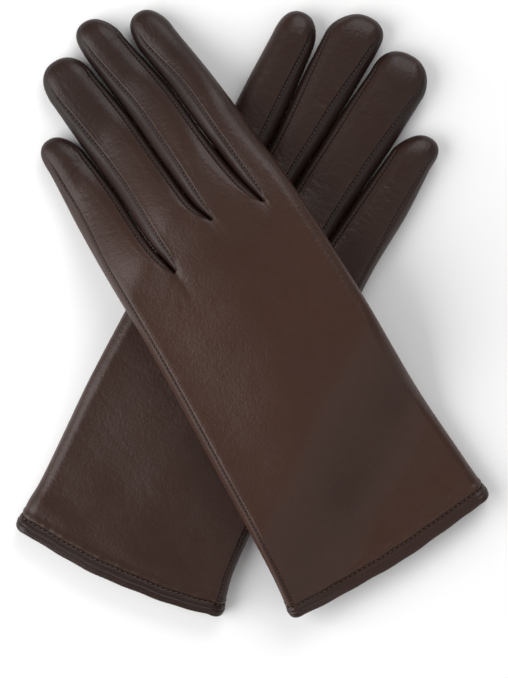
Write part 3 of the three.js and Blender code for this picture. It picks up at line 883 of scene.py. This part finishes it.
def fourchette(glove, finger, side, back, palm):
    """The strip on one side of a finger, from the crotch to its narrow end at the tip: the part of
    the rounded edge between the back's seam and the palm's."""
    column = FLATS.start if side == 0 else FLATS.stop - 1
    v = back["v"][:, column]
    s = finger_section(glove, finger, v)
    key = "left" if side == 0 else "right"
    sign = 2 * side - 1
    seam = s["seam_" + key][:, None]
    angle = seam * np.linspace(1, -1, 15)
    middle = (s["thickness"] / 2)[:, None]
    top = back["w"][:, column][:, None] - middle
    bottom = middle - palm["w"][:, column][:, None]
    high = np.where(angle > 0, top, bottom)
    h = back["h"][:, column][:, None] + sign * s["bend_" + key][:, None] * np.cos(angle)
    w = middle + high * np.sin(angle)
    across = sign * high * np.cos(angle)
    up = s["bend_" + key][:, None] * np.sin(angle)
    size = np.maximum(np.hypot(across, up), 1e-9)
    v = np.repeat(v[:, None], angle.shape[1], 1)
    strengths = [seam_strength(glove, finger, side, v)] * 2
    closing = np.repeat(s["closing"][:, None], angle.shape[1], 1)
    across = across / size
    up = up / size
    outer, inner, near = dressed(glove, h, v, w, across, up, strengths, closing, True)
    out = outward(glove, across, up)
    return {"outer": outer, "inner": inner, "near": near, "out": out, "pole": back["pole"]}


def crotch_fold(glove, number):
    """The fold that joins two fourchettes round a crotch: a narrow U across the slit, as high as the
    strips' walls."""
    start, middle = glove["slits"][number][0]
    turn = np.linspace(-1, 1, 13)
    high = np.linspace(1.2, HAND_THICKNESS - 1.5, 12)[:, None]
    h = middle + 0.55 * turn
    v = start - 0.5 + 3.2 * turn**4
    outer = place(glove, h, v, high)
    inner = place(glove, h, v - 0.7, high)
    lean = math.radians(glove["lean"])
    forward = np.array([-math.sin(lean), math.cos(lean), 0])
    out = np.broadcast_to(forward, outer.shape)
    return {"outer": outer, "inner": inner, "near": np.zeros(outer.shape[:2]), "out": out}


def closed_rings(glove, h, v, heights, middles, bends, offset, corner=0):
    """Closed rings from a flat: its upper half and its lower one with their rounded edges, moved by an
    offset along the section's normal and kept above the table."""
    level = [np.zeros(len(h))] * 2
    top = with_edges(h, v, heights[0], middles, bends, level, 1, None, corner)
    bottom = with_edges(h, v, heights[1], middles, bends, level, -1, None, corner)
    both = [np.concatenate([a, b[:, -2:0:-1]], 1) for a, b in zip(top, bottom)]
    h, v, w, across, up = both
    return place(glove, h + across * offset, v, np.maximum(w + up * offset, 0))


def hand_ring(glove, rows, offsets, flat_columns=60):
    """Closed rings round the hand: row k is the hand's section at distance rows[k] from the cuff edge,
    moved out of the leather's surface by offsets[k]."""
    rows = np.asarray(rows, float)
    line = crotch_line(glove)
    share = np.clip(rows / HAND_LENGTH, -0.1, 1)
    ends = [line(glove[key][0][1]) for key in ("little_edge", "index_edge")]
    left, right = hand_sides(glove, share, *ends)
    h0 = lerp(left[:, None], right[:, None], np.linspace(0, 1, flat_columns))
    v0 = lerp(hem_line(glove, h0), line(h0), share[:, None])
    corner = CUFF_CORNER * (1 - ease(rows, 0, CORNER_REACH))
    heights = (hand_top(glove, h0, v0), np.zeros_like(h0))
    middles = [hand_thickness(v0[:, end]) / 2 for end in (0, -1)]
    bends = [np.full(len(rows), EDGE)] * 2
    offset = np.asarray(offsets, float)[:, None]
    return closed_rings(glove, h0, v0, heights, middles, bends, offset, corner)


def cuff_hem(glove):
    """The turned and stitched hem: its section runs up the outside over a swelling with a faint
    pressed line, round the folded edge and up the inside under the lining."""
    t = np.linspace(0, 1, 26)
    outside = HEM_DEPTH * (1 - t) + 0.1
    below = HEM_DEPTH + 0.1 - outside
    offset = HEM_SWELL * np.sin(math.pi * np.clip(below / 6.4, 0, 1)) - 0.1
    top_tuck = -HEM_TUCK * bell(below, 0.35)
    middle_line = -HEM_LINE_DEPTH * bell(outside - HEM_LINE, 0.3)
    offset = offset + top_tuck + middle_line
    turn = np.linspace(0, math.pi, 12)[1:]
    fold_q = 0.1 - 0.9 * np.sin(turn)
    fold_offset = lerp(offset[-1], -1.9, (1 - np.cos(turn)) / 2)
    inside_q = np.array([2.0, 4.0, 7.0, 10.0, 10.4, 10.0, 7.0, 4.8])
    inside_offset = np.array([-2.15, -2.2, -2.2, -2.2, -1.9, -1.55, -1.4, -1.3])
    rows = np.concatenate([outside, fold_q, inside_q])
    offsets = np.concatenate([offset, fold_offset, inside_offset])
    points = hand_ring(glove, rows, offsets)
    # Painted shade: the pressed line and the top of the hem are marked for the material to darken
    near = 0.5 * bell(rows - HEM_LINE, 0.35) * (offsets > -1)
    near = np.maximum(near, 0.8 * bell(rows - HEM_DEPTH, 0.4))
    near = np.repeat(near[:, None], points.shape[1], 1)
    return closed_grid(f"{glove['name']}_hem_band", points, True, near)


def hand_lining(glove):
    """The knitted lining of the hand: a tube inside the leather from just inside the hem to the
    crotches, slightly ribbed and rolled at its lower edge."""
    rows = np.concatenate([[6.5, 7.2, 8.5], np.linspace(11, 144, 70)])
    wave = 0.12 * np.sin(rows / 5)
    outer = -LINING_OUT - 0.9 * (1 - ease(rows, 9, 14))
    inner = outer - LINING + wave * 0.5
    both = np.concatenate([rows, rows[::-1]])
    points = hand_ring(glove, both, np.concatenate([outer, inner[::-1]]), 40)
    piece = closed_grid(f"{glove['name']}_hand_lining", points, True)
    return with_knit_map(piece, points.shape[1], both)


def with_knit_map(piece, columns, rows):
    """UV map in millimetres: round the tube and along it."""
    mesh = piece.data
    count = len(mesh.loops)
    index = np.zeros(count, np.int32)
    mesh.loops.foreach_get("vertex_index", index)
    layer = mesh.uv_layers.new(name="knit")
    inside = np.minimum(index // columns, len(rows) - 1)
    uv = np.stack([(index % columns) * 1.6, rows[inside]], -1)
    layer.data.foreach_set("uv", uv.astype(np.float32).ravel())
    return piece


def finger_ring(glove, finger, rows, offsets):
    """Closed rings round a finger at v = rows[k], moved out of the leather's surface by offsets[k]."""
    v0 = np.repeat(np.asarray(rows, float)[:, None], 12, 1)
    s = finger_section(glove, finger, v0)
    line = crotch_line(glove)
    h0 = lerp(s["left"] + s["bend_left"], s["right"] - s["bend_right"], np.linspace(0, 1, 12))
    heights = [finger_height(glove, s, h0, v0, line, under) for under in (False, True)]
    middles = [s["thickness"][:, 0] / 2] * 2
    bends = (s["bend_left"][:, 0], s["bend_right"][:, 0])
    offset = np.asarray(offsets, float)[:, None] * s["closing"][:, :1]
    return closed_rings(glove, h0, v0, heights, middles, bends, offset)


def finger_lining(glove, finger):
    """The lining of a finger: a knitted tube inside the leather, closed round the tip."""
    tip = glove["tips"][finger][0] - LINING_OUT - 1.2
    first = finger_rows(glove, finger)[0] + 4
    cap = 8
    round_end = tip - cap + cap * np.sin(np.linspace(0.2, 1.5, 8))
    rows = np.concatenate([np.linspace(first, tip - cap, 40), round_end])
    both = np.concatenate([rows, rows[::-1] - LINING])
    offsets = np.repeat([-LINING_OUT - 0.25, -LINING_OUT - LINING - 0.25], len(rows))
    points = finger_ring(glove, finger, both, offsets)
    piece = closed_grid(f"{glove['name']}_{finger}_knit", points, True)
    return with_knit_map(piece, points.shape[1], both)


def thumb_points(glove, inset, count=44):
    """Rings along the folded thumb, from its round base behind the pivot to its tip: flattened ovals
    as wide as the base, the waist and the tip allow, with a seam line along both sides."""
    h, v = THUMB["pivot"]
    along = np.array([THUMB["tip"][0] - h, THUMB["tip"][1] - v], float)
    length = np.hypot(*along)
    along = along / length
    base = THUMB["base"] - inset
    end = length - inset
    t = np.linspace(-math.pi / 2 + 0.12, math.pi / 2 - 0.12, 90)
    s = np.where(t < 0, base * np.sin(t), end * np.sin(t))
    cap = np.clip((s - (length - THUMB["cap"])) / (end - length + THUMB["cap"]), 0, 1)
    back = np.sqrt(np.clip(1 - (np.minimum(s, 0) / base) ** 2, 0, 1))
    closing = np.minimum(back, np.sqrt(np.maximum(1 - cap**2.2, 0)))
    width = (lerp(THUMB["base"], THUMB["waist"], ease(s, 0, 30)) - inset) * closing
    high = np.maximum((THUMB["thickness"] / 2 - inset) * closing, 0.12)
    a = np.linspace(0, 2 * math.pi, count, endpoint=False)
    flat = np.sign(np.cos(a)) * np.abs(np.cos(a)) ** 0.7
    tall = np.sign(np.sin(a)) * np.abs(np.sin(a)) ** 0.62
    groove = 1 - 0.05 * bell(np.sin(a), 0.12)
    across = width[:, None] * flat * groove
    up = high[:, None] * tall
    ph = h + along[0] * s[:, None] + along[1] * across
    pv = v + along[1] * s[:, None] - along[0] * across
    x, y = plan(glove, ph, pv)
    px, py = plan(glove, h, v)
    ground = bridge_height(px, py) + THUMB["clearance"] if glove["on_top"] else 0
    z = np.broadcast_to(ground + THUMB["thickness"] / 2 + up, x.shape)
    return np.stack([x, y, z], -1) * MM


def neck_points(glove, radius, wall, low, high):
    """Upright collar about the thumb's pivot, flared at the top where the palm's leather meets it."""
    px, py = plan(glove, *THUMB["pivot"])
    ground = bridge_height(px, py) + THUMB["clearance"] if glove["on_top"] else 0
    t = np.linspace(0, 1, 10)
    outer = radius + 0.2 * bell(t - 1, 0.2)
    radii = np.concatenate([outer, (outer - wall)[::-1]])
    heights = np.concatenate([lerp(low, high, t), lerp(low, high, t)[::-1]])
    a = np.linspace(0, 2 * math.pi, 56, endpoint=False)
    x = px + radii[:, None] * np.cos(a)
    y = py + radii[:, None] * np.sin(a)
    z = np.broadcast_to(ground + heights[:, None], x.shape)
    return np.stack([x, y, z], -1) * MM


def along_run(at, run, values):
    """Rows of three values read off at distances along a line whose points lie at `run`."""
    return np.stack([np.interp(at, run, values[:, k]) for k in range(3)], -1)


def stitches(name, lines, pitch, length=1.05, radius=0.17):
    """Thread seen along seams: each stitch is a spindle of six sides, thickest in its middle, laid
    along its line at an even pitch. A line is (points, outward directions, how far the thread
    stands out)."""
    centres, tangents, ups = [], [], []
    for points, out, stand in lines:
        steps = np.linalg.norm(np.diff(points, axis=0), axis=1)
        run = np.concatenate([[0], np.cumsum(steps)])
        at = np.arange(pitch * MM * 0.6, run[-1], pitch * MM)
        up = unit(along_run(at, run, out))
        ahead = along_run(at + 0.5 * MM, run, points)
        behind = along_run(at - 0.5 * MM, run, points)
        centres.append(along_run(at, run, points) + up * stand * MM)
        tangents.append(unit(ahead - behind))
        ups.append(up)
    centre = np.concatenate(centres)
    tangent = np.concatenate(tangents)
    up = np.concatenate(ups)
    side = unit(np.cross(tangent, up))
    up = np.cross(side, tangent)
    t = np.array([-1, -0.85, -0.5, 0, 0.5, 0.85, 1])
    thick = radius * np.array([0.25, 0.7, 0.95, 1, 0.95, 0.7, 0.25])
    a = np.arange(6) * math.pi / 3
    spindle = [(t * length / 2)[:, None], thick[:, None] * np.cos(a), thick[:, None] * np.sin(a)]
    template = np.stack(np.broadcast_arrays(*spindle), -1).reshape(-1, 3) * MM
    axes = np.stack([tangent, side, up], 1)
    points = centre[:, None] + np.einsum("pk,nkd->npd", template, axes)
    rings = len(t)
    i, j = np.meshgrid(np.arange(rings - 1), np.arange(6), indexing="ij")
    next_j = (j + 1) % 6
    quads = np.stack([i * 6 + j, i * 6 + next_j, (i + 1) * 6 + next_j, (i + 1) * 6 + j], -1)
    quads = quads.reshape(-1, 4)
    ends = np.stack([np.arange(6)[::-1], (rings - 1) * 6 + np.arange(6)])
    first = np.arange(len(centre)) * len(template)
    quads = (quads[None] + first[:, None, None]).reshape(-1, 4)
    ends = (ends[None] + first[:, None, None]).reshape(-1, 6)
    flat = points.reshape(-1, 3)
    one = [quads[:(rings - 1) * 6], ends[:2]]
    if signed_volume(flat, one) < 0:
        quads = quads[:, ::-1]
        ends = ends[:, ::-1]
    return write_mesh(name, flat, [quads, ends])


def hole_keep(glove, panel):
    """Which faces of the palm are left round the thumb's hole; the points inside it are drawn out to
    its edge, so that the hole is round."""
    radius = THUMB["neck"] + 0.5
    ph, pv = THUMB["pivot"]
    dh = panel["h"] - ph
    dv = panel["v"] - pv
    distance = np.maximum(np.hypot(dh, dv), 1e-6)
    inside = distance < radius
    x0, y0 = plan(glove, panel["h"], panel["v"])
    x1, y1 = plan(glove, ph + dh / distance * radius, pv + dv / distance * radius)
    for key in ("outer", "inner"):
        panel[key][..., 0] += np.where(inside, x1 - x0, 0) * MM
        panel[key][..., 1] += np.where(inside, y1 - y0, 0) * MM
    corners = inside[:-1, :-1].astype(int) + inside[1:, :-1] + inside[:-1, 1:] + inside[1:, 1:]
    return corners < 4


# Assembly -------------------------------------------------------------------------------------

def seam_line(panel, column, rows, toward):
    """A stitched line at a panel's edge: the points of one column and the outward directions of a
    column a little further in."""
    return panel["outer"][rows, column], panel["out"][rows, toward], STITCH_STANDS


def build_fingers(glove, looks):
    """Back and palm panels, fourchettes, lining and thread of the four fingers."""
    name = glove["name"]
    backs = [finger_panel(glove, f, False) for f in FINGERS]
    palms = [finger_panel(glove, f, True) for f in FINGERS]
    hand_back = hand_panel(glove, backs, False)
    hand_palm = hand_panel(glove, palms, True)
    match_rows(hand_back, backs)
    match_rows(hand_palm, palms)
    for finger, back, palm in zip(FINGERS, backs, palms):
        fold = finger == "index"
        piece = panel_mesh(f"{name}_{finger}_back", back, palm["outer"][:, -2] if fold else None)
        dress(piece, looks["back"])
        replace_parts(ride_finger(piece), f"{name}_{finger}_end")
        piece = panel_mesh(f"{name}_{finger}_palm", palm, back["outer"][:, -2] if fold else None)
        ride_finger(dress(piece, looks["palm"]))
        lines = []
        tip = glove["tips"][finger][0]
        for side in (0, 1):
            column = -side
            start = crotches(glove, finger)[side]
            if start is not None:
                label = "little_side" if side == 0 else "index_side"
                wall = fourchette(glove, finger, side, back, palm)
                strip = panel_mesh(f"{name}_{finger}_strip_{label}", wall)
                dress(strip, looks["fourchette"])
                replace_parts(ride_finger(strip), f"{name}_{finger}_fourchette_{label}")
            elif side == 1:
                continue
            v = back["v"][:, column]
            rows = (v > (start or 0) + 5) & (v < tip - SEAM_FADES_AT)
            toward = 2 if side == 0 else -3
            lines.append(seam_line(back, column, rows, toward))
            if start is not None:
                under = seam_line(palm, column, rows & (v < tip - 14), toward)
                lines.append((under[0], under[1], 0.05))
        thread = stitches(f"{name}_{finger}_stitches", lines, STITCH_PITCH)
        ride_finger(dress(thread, looks["thread"]))
        lining = dress(finger_lining(glove, finger), looks["lining"])
        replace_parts(ride_finger(lining), f"{name}_{finger}_lining_end")
    return hand_back, hand_palm


def build_hand(glove, looks, hand_back, hand_palm):
    """Back and palm of the hand, crotch folds, hem, lining and their thread."""
    name = glove["name"]
    body = f"{name}_hand"
    back_fold = hand_palm["outer"][:, -2].copy()
    palm_fold = hand_back["outer"][:, -2].copy()
    keep = hole_keep(glove, hand_palm)
    piece = dress(panel_mesh(f"{name}_hand_back", hand_back, back_fold), looks["back"])
    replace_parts(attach(piece, body), f"{name}_back")
    piece = panel_mesh(f"{name}_hand_palm", hand_palm, palm_fold, keep)
    dress(piece, looks["palm"])
    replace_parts(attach(piece, body), f"{name}_palm")
    for number, crotch in enumerate(("ring_little", "middle_ring", "index_middle")):
        fold = panel_mesh(f"{name}_crotch_{crotch}", crotch_fold(glove, number))
        dress(fold, looks["fourchette"])
        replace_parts(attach(fold, body), f"{name}_fourchette_{crotch}")
    hem = dress(cuff_hem(glove), looks["hem"])
    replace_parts(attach(hem, body), f"{name}_cuff_hem")
    lining = dress(hand_lining(glove), looks["lining"])
    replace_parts(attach(lining, body), f"{name}_lining_hand")
    side = (hand_back["outer"][:, 0], hand_back["out"][:, 2], STITCH_STANDS)
    thread = stitches(f"{name}_side_seam_stitches", [side], STITCH_PITCH)
    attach(dress(thread, looks["thread"]), body)
    ring = hand_ring(glove, [HEM_DEPTH + 0.05] * 2, [0.1, 1.0])
    ring = np.concatenate([ring, ring[:, :1]], 1)
    thread = stitches(f"{name}_hem_stitches", [(ring[0], ring[1] - ring[0], 0)], HEM_PITCH, 1.4)
    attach(dress(thread, looks["thread"]), body)


def build_thumb(glove, looks):
    """The thumb folded flat under the palm, its collar in the palm's hole and its lining."""
    name = glove["name"]
    body = f"{name}_thumb"
    roof = THUMB["thickness"]
    top = glove["thumb_lift"] + LEATHER
    thumb = closed_grid(f"{name}_thumb_leather", thumb_points(glove, 0), False)
    dress(thumb, looks["palm"])
    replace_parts(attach(thumb, body), f"{name}_thumb")
    collar = neck_points(glove, THUMB["neck"], LEATHER, roof - 0.6, top)
    collar = dress(closed_grid(f"{name}_thumb_collar", collar, True), looks["palm"])
    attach(collar, body)
    lining = neck_points(glove, THUMB["neck"] - LINING_OUT, LINING, roof - 0.4, top + 0.6)
    lining = closed_grid(f"{name}_thumb_knit", lining, True)
    lining = dress(with_knit_map(lining, 56, np.linspace(0, 8, 20)), looks["lining"])
    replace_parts(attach(lining, body), f"{name}_thumb_lining")


# Materials ------------------------------------------------------------------------------------

class Nodes:
    """A new node material with short calls to add and join its nodes."""

    def __init__(self, name):
        self.material = bpy.data.materials.new(name)
        self.material.use_nodes = True
        self.tree = self.material.node_tree
        self.shader = self.tree.nodes["Principled BSDF"]

    def add(self, kind, links=None, **settings):
        """A node with its settings; an input is a value or the output that feeds it."""
        node = self.tree.nodes.new("ShaderNode" + kind)
        for key, value in settings.items():
            setattr(node, key, value)
        for socket, source in (links or {}).items():
            if isinstance(source, (int, float, tuple)):
                node.inputs[socket].default_value = source
            else:
                self.tree.links.new(source, node.inputs[socket])
        return node

    def to_shader(self, socket, source):
        """Joins an output to the surface's own input."""
        self.tree.links.new(source, self.shader.inputs[socket])

    def constant(self, **values):
        """Sets plain inputs of the surface."""
        for key, value in values.items():
            self.shader.inputs[key.replace("_", " ")].default_value = value

    def ranged(self, source, low, high):
        """The source's 0-1 spread over low to high."""
        node = self.add("MapRange", {0: source, 1: 0.0, 2: 1.0, 3: low, 4: high})
        return node.outputs[0]

    def noise(self, place_in, scale, detail, output="Fac", **more):
        """Layered noise: its scale is per metre, its detail the number of finer layers."""
        inputs = {"Vector": place_in, "Scale": scale, "Detail": detail, **more}
        return self.add("TexNoise", inputs).outputs[output]

    def maths(self, operation, *inputs):
        """One sum of values or outputs."""
        return self.add("Math", dict(enumerate(inputs)), operation=operation).outputs[0]

    def mixed(self, share, first, second):
        """The first colour turning into the second."""
        return self.add("Mix", {0: share, 6: first, 7: second}, data_type="RGBA").outputs[2]

    def bump(self, height, strength, depth, under=None):
        """The normal of a relief so many metres deep, laid over the normal under it."""
        inputs = {"Strength": strength, "Distance": depth, "Height": height}
        if under is not None:
            inputs["Normal"] = under
        return self.add("Bump", inputs).outputs[0]


def nappa(name, dark, light, rough, glove, grain=1.0):
    """Dyed smooth nappa: two close browns in slow clouds and small mottling; as bump, a fine pebbled
    grain with pores, drawn lines, and wrinkles stretched across the glove's own axis; painted shade
    darkening it along the fingers towards their tips, where it is a little rougher too, and painted
    shade darkening the seam grooves, which are rougher too."""
    n = Nodes(name)
    place_in = n.add("TexCoord").outputs["Object"]
    lean = math.radians(glove["lean"])
    turn = n.add("VectorRotate", {"Vector": place_in, "Angle": -lean}, rotation_type="Z_AXIS")
    turned = turn.outputs[0]
    clouds = n.noise(place_in, CLOUD_SCALE, 3.0)
    mottle = n.noise(place_in, MOTTLE_SCALE, 4.0)
    tone = n.mixed(n.maths("MULTIPLY_ADD", clouds, mottle, 0.22), dark, light)
    # Painted shade: the colour darkens along the glove's axis towards the fingertips, and the same
    # ramp makes the leather a little rougher there
    cuff = (glove["cuff"][1] * math.cos(lean) - glove["cuff"][0] * math.sin(lean)) * MM
    along = n.add("SeparateXYZ", {0: turned}).outputs[1]
    ends = {1: cuff + TIP_SHADE_FROM, 2: cuff + TIP_SHADE_TO, 3: 0.0, 4: TIP_SHADE[glove["name"]]}
    tip_shade = n.add("MapRange", {0: along, **ends}).outputs[0]
    # Painted shade: the darkest tone, towards which the fingertips and the seam grooves are darkened
    deep = tuple(c * DEEPER for c in dark[:3]) + (1.0,)
    tone = n.mixed(tip_shade, tone, deep)
    # Painted shade: the seam grooves are darkened towards the darkest tone
    seam = n.add("Attribute", attribute_name="seam").outputs["Fac"]
    n.to_shader("Base Color", n.mixed(n.ranged(seam, 0.0, 0.8), tone, deep))
    drawn = n.noise(place_in, DRAWN_SCALE, 6.0, Roughness=0.62)
    uneven = n.ranged(drawn, rough - 0.1, rough + 0.1)
    worn = n.maths("ADD", uneven, n.ranged(seam, 0.0, 0.18))
    n.to_shader("Roughness", n.maths("MULTIPLY_ADD", tip_shade, 0.06, worn))
    warp = n.noise(place_in, WARP_SCALE, 2.0, "Color")
    bent = n.add("Mix", {0: 0.0006, 4: place_in, 5: warp}, data_type="VECTOR", blend_type="MIX")
    pebbles = {"Vector": bent.outputs[1], "Scale": PEBBLE_SCALE}
    cells = n.add("TexVoronoi", pebbles, feature="SMOOTH_F1").outputs["Distance"]
    pores = n.noise(place_in, PORE_SCALE, 2.0)
    stretched = n.add("VectorMath", {0: turned, 1: (0.3, 1.0, 0.5)}, operation="MULTIPLY")
    wrinkle = n.noise(stretched.outputs[0], WRINKLE_SCALE, 4.0, Roughness=0.6)
    wrinkle = n.maths("MULTIPLY", wrinkle, n.ranged(clouds, -0.3, 1.6))
    normal = n.bump(cells, 0.55 * grain, 0.00014)
    normal = n.bump(pores, 0.25 * grain, 0.00006, normal)
    normal = n.bump(wrinkle, 0.42, 0.0003, normal)
    n.to_shader("Normal", n.bump(drawn, 0.26, 0.0008, normal))
    n.constant(Specular_IOR_Level=0.29, Coat_Weight=0.04, Coat_Roughness=0.28)
    return n.material


def knit(name, colour, light):
    """Fine jersey: wales and courses as waves over the tube's own map in millimetres."""
    n = Nodes(name)
    axes = n.add("SeparateXYZ", {0: n.add("UVMap", uv_map="knit").outputs[0]})
    wale = n.maths("MULTIPLY", axes.outputs[0], WALES)
    course = n.maths("MULTIPLY", axes.outputs[1], COURSES)
    up = n.maths("SINE", wale)
    loop = n.maths("SINE", n.maths("MULTIPLY_ADD", up, 1.6, course))
    height = n.maths("ADD", up, loop)
    n.to_shader("Base Color", n.mixed(n.ranged(height, 0.35, 0.75), colour, light))
    n.to_shader("Normal", n.bump(height, 0.5, 0.0002))
    n.constant(Roughness=0.92, Specular_IOR_Level=0.2, Sheen_Weight=0.3, Sheen_Roughness=0.6)
    return n.material


def twisted_thread(name, colour):
    """Polyester thread: twisted plies as a fine slanting wave, with a slight lustre."""
    n = Nodes(name)
    twist = {"Vector": n.add("TexCoord").outputs["Object"], "Scale": PLY_SCALE, "Distortion": 1.5}
    plies = n.add("TexWave", twist, bands_direction="DIAGONAL").outputs["Fac"]
    light = tuple(c * 1.7 for c in colour[:3]) + (1.0,)
    n.to_shader("Base Color", n.mixed(plies, colour, light))
    n.to_shader("Normal", n.bump(plies, 0.4, 0.00005))
    n.constant(Roughness=0.5, Specular_IOR_Level=0.4)
    return n.material


def leather_looks(glove):
    """The four leathers of a glove, and its lining and thread."""
    name = glove["name"]

    # Painted shade: every brown is darkened by the glove's own factor, the lower glove's most
    def brown(red, green, blue):
        return (red * GLOVE_SHADE[name], green * GLOVE_SHADE[name], blue * GLOVE_SHADE[name], 1)

    dark = brown(0.0335, 0.0128, 0.0075)
    light = brown(0.0500, 0.0198, 0.0118)
    # Painted shade: the fourchettes' browns are the back's darkened to about two thirds, for the
    # shaded slits between the fingers; the hem takes the same darker browns
    strip = brown(0.0220, 0.0086, 0.0054)
    strip_light = brown(0.0320, 0.0130, 0.0080)
    return {
        "back": nappa(f"nappa_back_{name}", dark, light, 0.38, glove),
        "palm": nappa(f"nappa_palm_{name}", dark, light, 0.46, glove),
        "fourchette": nappa(f"nappa_fourchette_{name}", strip, strip_light, 0.48, glove),
        "hem": nappa(f"nappa_hem_{name}", strip, strip_light, 0.36, glove, 0.8),
        "lining": KNIT,
        "thread": THREAD,
    }


add_camera()
add_studio()
KNIT = knit("jersey_lining", (0.075, 0.052, 0.040, 1), (0.16, 0.12, 0.095, 1))
THREAD = twisted_thread("brown_thread", (0.062, 0.036, 0.027, 1))

for GLOVE in (RIGHT, LEFT):
    LOOKS = leather_looks(GLOVE)
    GLOVE["creases"] = crease_set(GLOVE)
    BACK, PALM = build_fingers(GLOVE, LOOKS)
    build_hand(GLOVE, LOOKS, BACK, PALM)
    build_thumb(GLOVE, LOOKS)
